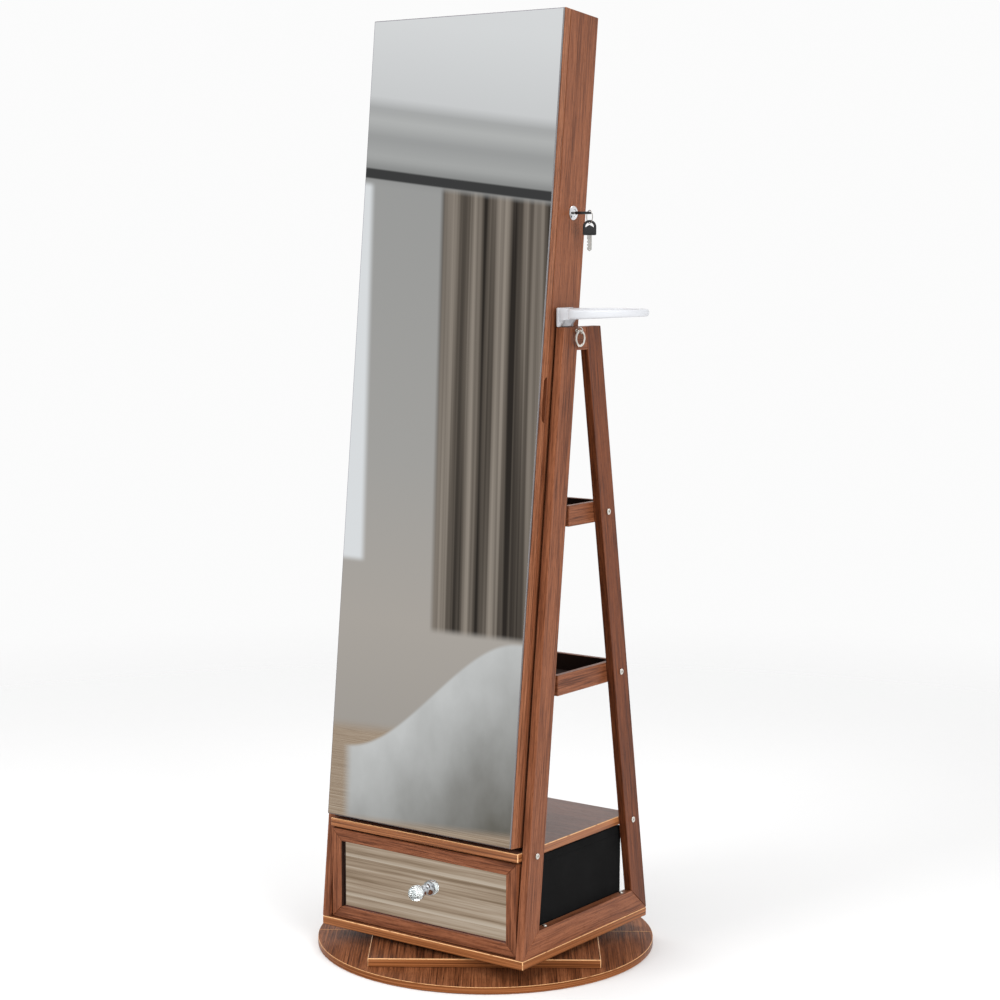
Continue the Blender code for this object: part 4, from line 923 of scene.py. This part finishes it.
def build_holder(white):
    """Moulded holder whose ring has a full nose outside and a rounded lip inside."""
    work = bmesh.new()
    work.from_mesh(NODES["dryer_holder"].data)
    bmesh.ops.remove_doubles(work, verts=work.verts, dist=1e-6)
    bmesh.ops.dissolve_limit(work, angle_limit=radians(1), verts=work.verts, edges=work.edges)
    low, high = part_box("dryer_holder")
    centre = Vector((high.x - HOLDER_OUTER, (low.y + high.y) / 2))
    for radius, rounding in ((HOLDER_OUTER, HOLDER_NOSE), (HOLDER_INNER, HOLDER_LIP)):
        rim = []
        for edge in work.edges:
            on_ring = all(abs((vert.co.xy - centre).length - radius) < RIM_REACH for vert in edge.verts)
            if on_ring and edge.calc_face_angle(0.0) > RIM_ANGLE:
                rim.append(edge)
        bmesh.ops.bevel(work, geom=rim, offset=rounding, segments=5, profile=0.5, affect="EDGES",
                        clamp_overlap=True)
    piece(work, "moulded_holder", "turntable", "white_plastic", white, "dryer_holder")


# Soft pieces

BIN_CORNER = 0.012
BIN_WALL = 0.004
BIN_HEM = 0.014
# Inset and depth below the rim, from the groove under the hem over the rim to the inside
BIN_HEM_PROFILE = ((0.0, 0.0147), (0.0005, 0.0143), (0.0005, 0.0139), (-0.0003, 0.0135), (-0.0006, 0.0125),
                   (-0.0006, 0.0080), (-0.0006, 0.0035), (-0.0004, 0.0016), (0.0003, 0.0005),
                   (0.0012, 0.0001), (0.0020, 0.0), (0.0028, 0.0001), (0.0037, 0.0005), (0.0042, 0.0016),
                   (0.0042, 0.0140))
BIN_REAR_ROUND = 0.014
BIN_PUFF = 0.0012
BIN_SWAY = 0.0004
BIN_HEM_GAP = 0.003
# Inset and share of the wall's height at the foot outside and the floor's edge inside
BIN_FOOT = ((0.0040, 0.0), (0.0018, 0.004), (0.0004, 0.018))
BIN_FLOOR_EDGE = ((0.0, 0.02), (0.0008, 0.006), (0.0030, 0.0))
STITCH_PITCH = 0.0046
STITCH_LENGTH = 0.0032
STITCH_RADIUS = 0.00035
STITCH_BELOW = 0.0112
STITCH_PROUD = 0.0007
# Share of the wall's swelling at the height of the stitches
STITCH_PUFF = 0.18
CUSHION_ROLLS = 7
CUSHION_END = 0.016
CUSHION_STEPS = 28
ROLL_STEPS = 14
CREASE_PULL = 0.0035
CUSHION_SWAY = 0.0004


def lean_box(node):
    """Corners of a node in the leaning frame of the cabinet."""
    upright = CABINET.inverted()
    points = [upright @ vert.co for vert in NODES[node].data.vertices]
    return [Vector([end(parts) for parts in zip(*points)]) for end in (min, max)]


def bin_outline(low, high):
    """Points round the bin with their outward directions and their places along each side, 0 to 1."""
    corner = BIN_CORNER
    spots = []
    centres = ((high.x - corner, low.y + corner), (high.x - corner, high.y - corner),
               (low.x + corner, high.y - corner), (low.x + corner, low.y + corner))
    for k, centre in enumerate(centres):
        start = (k - 1) * pi / 2
        for j in range(7):
            out = Vector(polar(1.0, start + j * pi / 12))
            spots.append((Vector(centre) + corner * out, out, 0.0))
        out = Vector(polar(1.0, start + pi / 2))
        first = Vector(centre) + corner * out
        last = Vector(centres[(k + 1) % 4]) + corner * out
        for j in range(1, 24):
            spots.append((first.lerp(last, j / 24), out, j / 24))
    return spots


def build_bin(cloth):
    """Fabric-covered bin: slightly swollen walls, a turned and stitched hem, a soft rim and its inside."""
    low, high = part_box("drawer_bin")
    spots = bin_outline(low, high)

    def top_at(y):
        over = max(0.0, y - (high.y - BIN_REAR_ROUND))
        return high.z - BIN_REAR_ROUND + sqrt(max(0.0, BIN_REAR_ROUND ** 2 - over ** 2))

    def ring(inset, share=None, below=0.0):
        """Row of points at a share of the wall's height, or at a depth below its top."""
        row = []
        for spot, out, place in spots:
            top = top_at(spot.y)
            z = top - below if share is None else low.z + share * (top - BIN_HEM - BIN_HEM_GAP - low.z)
            rise = min(1.0, (z - low.z) / (top - low.z))
            puff = BIN_PUFF * sin(pi * place) * sin(pi * rise)
            sway = BIN_SWAY * pattern.noise(Vector((9 * spot.x, 9 * spot.y, 14 * z)))
            offset = (puff + sway if inset < BIN_WALL / 2 else sway) - inset
            if out.y < -0.5:
                offset = -max(inset, 0.0)
            row.append((spot.x + offset * out.x, spot.y + offset * out.y, z))
        return row

    rings = [ring(inset, share) for inset, share in BIN_FOOT]
    rings += [ring(0.0, k / 12) for k in range(1, 13)]
    rings += [ring(inset, below=below) for inset, below in BIN_HEM_PROFILE]
    rings += [ring(BIN_WALL, k / 6) for k in range(5, 0, -1)]
    floor = BIN_WALL / (high.z - BIN_HEM - BIN_HEM_GAP - low.z)
    rings += [ring(BIN_WALL + inset, floor + share) for inset, share in BIN_FLOOR_EDGE]
    work = bmesh.new()
    loft(work, rings)
    stitches(work, spots, top_at)
    piece(work, "fabric_bin", "drawer", "fabric", cloth, "drawer_bin", limit=radians(60))


def stitches(work, spots, top_at):
    """Row of stitches along the hem on the bin's sides and rear."""
    carry = 0.0
    for (first, out, place), (second, *_) in zip(spots, spots[1:]):
        span = second - first
        while carry < span.length:
            spot = first + carry * span.normalized()
            carry += STITCH_PITCH
            if out.y < -0.5:
                continue
            puff = BIN_PUFF * sin(pi * place) * STITCH_PUFF
            spot = spot + (STITCH_PROUD + puff) * out
            centre = Vector((spot.x, spot.y, top_at(spot.y) - STITCH_BELOW))
            run = Vector((-out.y, out.x, 0.0))
            turn = Matrix((run, Vector((0, 0, 1)), run.cross(Vector((0, 0, 1))))).transposed().to_4x4()
            rings = []
            for k in range(5):
                along_run = (k / 4 - 0.5) * STITCH_LENGTH
                girth = STITCH_RADIUS * sqrt(max(0.12, 1 - (k / 2 - 1) ** 2))
                rings.append([(along_run, *polar(girth, side)) for side in around(6)])
            loft(work, rings, place=Matrix.Translation(centre) @ turn)
        carry -= span.length


def build_cushion(velvet):
    """Rolled foam cushion: full rolls with tight creases, rounded ends and a flat back."""
    low, high = lean_box("ring_cushion")
    half = (high.x - low.x) / 2
    centre = (high.x + low.x) / 2
    roll = (high.z - low.z) / CUSHION_ROLLS
    rings = []
    for k in range(2 * CUSHION_STEPS + 1):
        across = sin(pi / 2 * (k / CUSHION_STEPS - 1))
        past = max(0.0, (abs(across) * half - half + CUSHION_END) / CUSHION_END)
        full = sqrt(max(0.0, 1 - past * past))
        ring = []
        for number in range(CUSHION_ROLLS):
            for j in range(ROLL_STEPS + 1):
                turn = pi * (j / ROLL_STEPS - 0.5)
                if number and j == 0:
                    continue
                crease = 1 - cos(turn)
                depth = (high.y - low.y - roll / 2) * (0.5 + 0.5 * full)
                depth += roll / 2 * cos(turn) * (0.35 + 0.65 * full)
                z = low.z + (number + 0.5) * roll + roll / 2 * sin(turn)
                x = centre + across * (half - CREASE_PULL * crease)
                depth += CUSHION_SWAY * pattern.noise(Vector((30 * x, 60 * z, 3.0))) * (1 - crease)
                ring.append((x, high.y - min(depth, high.y - low.y), z))
        top, bottom = ring[-1][2], ring[0][2]
        ring += [(centre + across * half, high.y, top + (bottom - top) * j / 6) for j in range(7)]
        rings.append(ring)
    work = bmesh.new()
    loft(work, rings, place=CABINET)
    made = piece(work, "rolled_ring_cushion", "turntable", "velvet", velvet, "ring_cushion",
                 limit=radians(70))


# Finishes on the CAD fittings, and the new pieces

def dress_fittings():
    dress_mirrors()
    nickel = metal("nickel", (0.84, 0.81, 0.75), rough=0.24, spread=0.14)
    for node in NODES:
        if "_hinge_" in node:
            paint(node, nickel)
    chrome = metal("chrome", (0.82, 0.83, 0.85), rough=0.05, spread=0.04)
    paint("lock_plug", chrome)
    zinc = metal("zinc", (0.58, 0.58, 0.57), rough=0.38, spread=0.2)
    for node in ("swivel_lower_plate", "swivel_ball_ring", "swivel_upper_plate", "lock_strike"):
        paint(node, zinc)
    build_holder(plastic("white_plastic", (0.575, 0.586, 0.612), rough=0.42))
    velvet = fabric("black_flock", (0.009, 0.0085, 0.0085), pitch=0.0008, sheen=0.12)
    paint("earring_board", velvet)
    build_knob(chrome, crystal("crystal"))
    build_fasteners(nickel)
    steel = metal("key_steel", (0.68, 0.67, 0.64), rough=0.28, spread=0.16)
    black = plastic("black_plastic", (0.012, 0.012, 0.013), rough=0.42, grain=0.0004)
    build_lock(chrome, steel, black)
    build_rings(nickel, steel)
    build_bin(fabric("black_fabric", (0.0045, 0.0045, 0.0046), pitch=0.0011, sheen=0.008, gloss=0.08))
    build_cushion(velvet)


# Studio

def build_camera():
    data = bpy.data.cameras.new("photo_camera")
    data.lens = CAMERA_LENS
    data.sensor_width = 36.0
    data.shift_x, data.shift_y = CAMERA_SHIFT
    camera = new_object("photo_camera", data)
    camera.location = CAMERA_AT
    camera.rotation_euler = (pi / 2 - CAMERA_PITCH, 0, CAMERA_YAW)
    bpy.context.scene.camera = camera


# Name, place, aim, side, power in watts, and whether reflections show it
LIGHTS = (("key_light", (4.4, -1.6, 1.5), (0, 0, 0.8), 3.0, 182, False),
          ("front_fill", (-1.6, -4.2, 2.4), (0, 0, 0.8), 2.6, 145, False),
          ("top_light", (-0.4, 0.2, 4.2), (0, 0, 0.4), 3.0, 84, True))


def build_lights():
    for name, at, aim, side, power, reflected in LIGHTS:
        data = bpy.data.lights.new(name, "AREA")
        data.shape = "RECTANGLE"
        data.size = data.size_y = side
        data.energy = power
        lamp = new_object(name, data)
        lamp.location = at
        lamp.rotation_euler = (Vector(aim) - Vector(at)).to_track_quat("-Z", "Y").to_euler()
        lamp.visible_glossy = reflected


FLOOR_RADIUS = 7.0
FLOOR_FADE = (0.9, 3.5)
FLOOR_DROP = 0.0005


def build_floor():
    """Pale floor that fades out into the background; reflections show the world's room instead."""
    mesh = bpy.data.meshes.new("floor")
    work = bmesh.new()
    bmesh.ops.create_circle(work, cap_ends=True, segments=96, radius=FLOOR_RADIUS)
    work.to_mesh(mesh)
    work.free()
    floor = new_object("floor", mesh)
    floor.location.z = -FLOOR_DROP
    floor.visible_glossy = False
    made, shader, point, _ = new_material("pale_floor")
    tree = made.node_tree
    looks = {"Base Color": (0.90, 0.90, 0.90, 1.0), "Roughness": 0.7, "Specular IOR Level": 0.2}
    connect(shader, looks)
    radius = add(tree, "ShaderNodeVectorMath", {0: point}, operation="LENGTH")["Value"]
    clear = add(tree, "ShaderNodeBsdfTransparent")[0]
    blend = {0: step(radius, *FLOOR_FADE), 1: shader.outputs[0], 2: clear}
    surface = add(tree, "ShaderNodeMixShader", blend)[0]
    connect(tree.nodes["Material Output"], {"Surface": surface})
    mesh.materials.append(made)


# Room that reflections show: turns and levels are degrees of the direction looked in

# Level and colour of wall, cornice and ceiling
ROOM = ((-3.0, (0.40, 0.365, 0.33)), (-0.3, (0.445, 0.405, 0.365)), (4.0, (0.40, 0.385, 0.365)),
        (10.8, (0.365, 0.36, 0.35)), (11.2, (0.27, 0.27, 0.265)), (11.5, (0.43, 0.43, 0.42)),
        (12.0, (0.36, 0.36, 0.355)), (12.4, (0.50, 0.50, 0.49)), (12.7, (0.42, 0.42, 0.415)),
        (13.0, (0.66, 0.66, 0.66)), (15.0, (0.75, 0.75, 0.75)), (22.0, (0.84, 0.84, 0.84)))
OVERHEAD = (0.95, 0.95, 0.95)
BEHIND = (0.93, 0.93, 0.93)
BACKDROP = (0.97, 0.97, 0.97)
# Share of the backdrop's strength that lights the part
AMBIENT = 0.52
FLOOR_BOARDS = ((0.36, (0.235, 0.165, 0.108)), (0.50, (0.385, 0.290, 0.208)), (0.64, (0.52, 0.42, 0.325)))
BOARD_GRAIN = (0.42, 0.020, 1.0)
BOARD_WIDTH = 0.17
BOARD_SEAM = (0.60, 0.51, 0.41)
BOARDS_TURN = (-139.0, -116.0)
BOARDS_LEVEL = (-40.0, -3.1)
BOARDS_FADE = (-27.0, -18.0)
PALE_FLOOR = (0.66, 0.645, 0.62)
NEAR_FLOOR = (0.36, 0.345, 0.33)
FLOOR_LEVEL = (-2.9, -8.0)
FLOOR_SHADE = (-8.0, -44.0)
DRAPE = ((0.18, (0.030, 0.025, 0.021)), (0.50, (0.125, 0.104, 0.085)), (0.84, (0.31, 0.265, 0.222)))
DRAPE_TURN = (-126.9, -72.0)
DRAPE_LEVEL = (-0.4, 10.9)
DRAPE_FOLD = 0.78
# Number of folds over which, and by which, the folds wander
DRAPE_DRIFT = 1.6
DRAPE_THREAD = 0.13
ROD_LEVEL = (10.95, 11.2)
ROD = (0.05, 0.05, 0.05)
BENCH_TURN = (-129.0, -124.6)
BENCH_LEVEL = (-3.6, -0.5)
BENCH_FOOT = -5.3
BENCH = ((0.0, (0.13, 0.120, 0.100)), (0.45, (0.33, 0.325, 0.310)), (1.0, (0.60, 0.60, 0.59)))
WINDOW_TURN = (-130.5, -128.74)
WINDOW_LEVEL = (1.2, 10.8)
WINDOW = (0.78, 0.79, 0.80)
LIGHT_SIDE = (-75.0, -50.0)
LIGHT_WALL = (0.80, 0.80, 0.80)
# Dark screens, one above the other, that give the chrome its contrast
SCREEN_TURN = (-67.0, -53.0)
SCREEN_LEVEL = (-32.0, 42.0)
SCREEN_GAP = (-4.0, 6.0)
SCREEN = (0.035, 0.034, 0.040)
# Turn per degree of level that keeps the room upright in the leaning mirror
SLANT = 0.1


def wall_colour(level):
    low, high = ROOM[0][0], ROOM[-1][0]
    limits = {"Value": level, "From Min": low, "From Max": high}
    rise = add(level.id_data, "ShaderNodeMapRange", limits)[0]
    return ramp(rise, [((place - low) / (high - low), colour) for place, colour in ROOM])


def drape_colour(turn, folds):
    """Hanging folds of uneven width with fine threads."""
    drift = noise(folds, (DRAPE_DRIFT * DRAPE_FOLD, 1.0, 1.0))
    phase = plus(calc("DIVIDE", turn, DRAPE_FOLD), times(drift, DRAPE_DRIFT))
    fold = times(calc("SINE", times(phase, tau)), 0.24)
    thread = noise(folds, (DRAPE_THREAD, 1.0, 1.0))
    return ramp(plus(fold, thread), DRAPE)


def board_colour(x, y, z):
    """Floor boards with pale seams on a level plane under the viewer."""
    drop = calc("MINIMUM", z, -0.02)
    run, across = calc("DIVIDE", x, drop), calc("DIVIDE", y, drop)
    spot = add(x.id_data, "ShaderNodeCombineXYZ", {0: run, 1: across})[0]
    boards = ramp(noise(spot, BOARD_GRAIN, detail=5.0, roughness=0.65), FLOOR_BOARDS)
    seam = calc("FRACT", calc("DIVIDE", across, BOARD_WIDTH))
    return mix(times(step(seam, 0.12, 0.0), 0.8), boards, BOARD_SEAM)


def add_bench(room, turn, level, folds):
    """Soft bench whose top slopes up to the right."""
    foot, head = BENCH_LEVEL
    top = plus(foot, times(step(turn, *BENCH_TURN), head - foot))
    depth = minus(top, level)
    crease = noise(folds, (0.9, 0.05, 1.0), detail=4.0)
    soft = plus(0.78, times(crease, 0.45))
    lit = minus(soft, times(depth, 0.20))
    share = times(step(depth, -0.05, 0.08), step(level, BENCH_FOOT - 0.3, BENCH_FOOT))
    share = times(share, band(turn, BENCH_TURN[0], DRAPE_TURN[1], 0.15))
    return mix(share, room, ramp(lit, BENCH))


def room_colour(tree):
    """Soft room to the front and plain white behind, by the direction looked in."""
    direction = add(tree, "ShaderNodeTexCoord")["Generated"]
    x, y, z = add(tree, "ShaderNodeSeparateXYZ", {0: direction})
    level = calc("DEGREES", calc("ARCSINE", z))
    turn = calc("DEGREES", calc("ARCTAN2", y, x))
    turn = plus(turn, times(level, SLANT))
    folds = add(tree, "ShaderNodeCombineXYZ", {0: turn, 1: times(level, 0.03)})[0]

    def patch(turns, levels, soft_turn, soft_level):
        return times(band(turn, *turns, soft_turn), band(level, *levels, soft_level))

    room = mix(step(z, 0.40, 0.85), wall_colour(level), OVERHEAD)
    room = mix(patch(DRAPE_TURN, DRAPE_LEVEL, 0.08, 0.12), room, drape_colour(turn, folds))
    room = mix(band(level, *ROD_LEVEL, 0.03), room, ROD)
    room = mix(patch(WINDOW_TURN, WINDOW_LEVEL, 0.10, 0.10), room, WINDOW)
    room = mix(step(turn, *LIGHT_SIDE), room, LIGHT_WALL)
    gap = band(level, *SCREEN_GAP, 2.0)
    screens = times(patch(SCREEN_TURN, SCREEN_LEVEL, 3.0, 3.0), minus(1.0, gap))
    room = mix(screens, room, SCREEN)
    floor = mix(step(level, *FLOOR_SHADE), PALE_FLOOR, NEAR_FLOOR)
    room = mix(step(level, *FLOOR_LEVEL), room, floor)
    share = times(patch(BOARDS_TURN, BOARDS_LEVEL, 4.0, 0.2), step(level, *BOARDS_FADE))
    room = mix(share, room, board_colour(x, y, z))
    room = add_bench(room, turn, level, folds)
    return mix(step(y, -0.10, 0.25), room, BEHIND)


def build_world():
    """White backdrop for the camera, and the soft room for reflections."""
    world = bpy.data.worlds.new("studio")
    world.use_nodes = True
    tree = world.node_tree
    path = add(tree, "ShaderNodeLightPath")
    seen = calc("MAXIMUM", path["Is Camera Ray"], path["Is Glossy Ray"])
    colour = mix(path["Is Glossy Ray"], BACKDROP, room_colour(tree))
    strength = plus(AMBIENT, times(1 - AMBIENT, seen))
    connect(tree.nodes["Background"], {"Color": colour, "Strength": strength})
    bpy.context.scene.world = world


dress_wood()
dress_fittings()
build_camera()
build_lights()
build_floor()
build_world()
bpy.context.scene.view_settings.view_transform = "Standard"
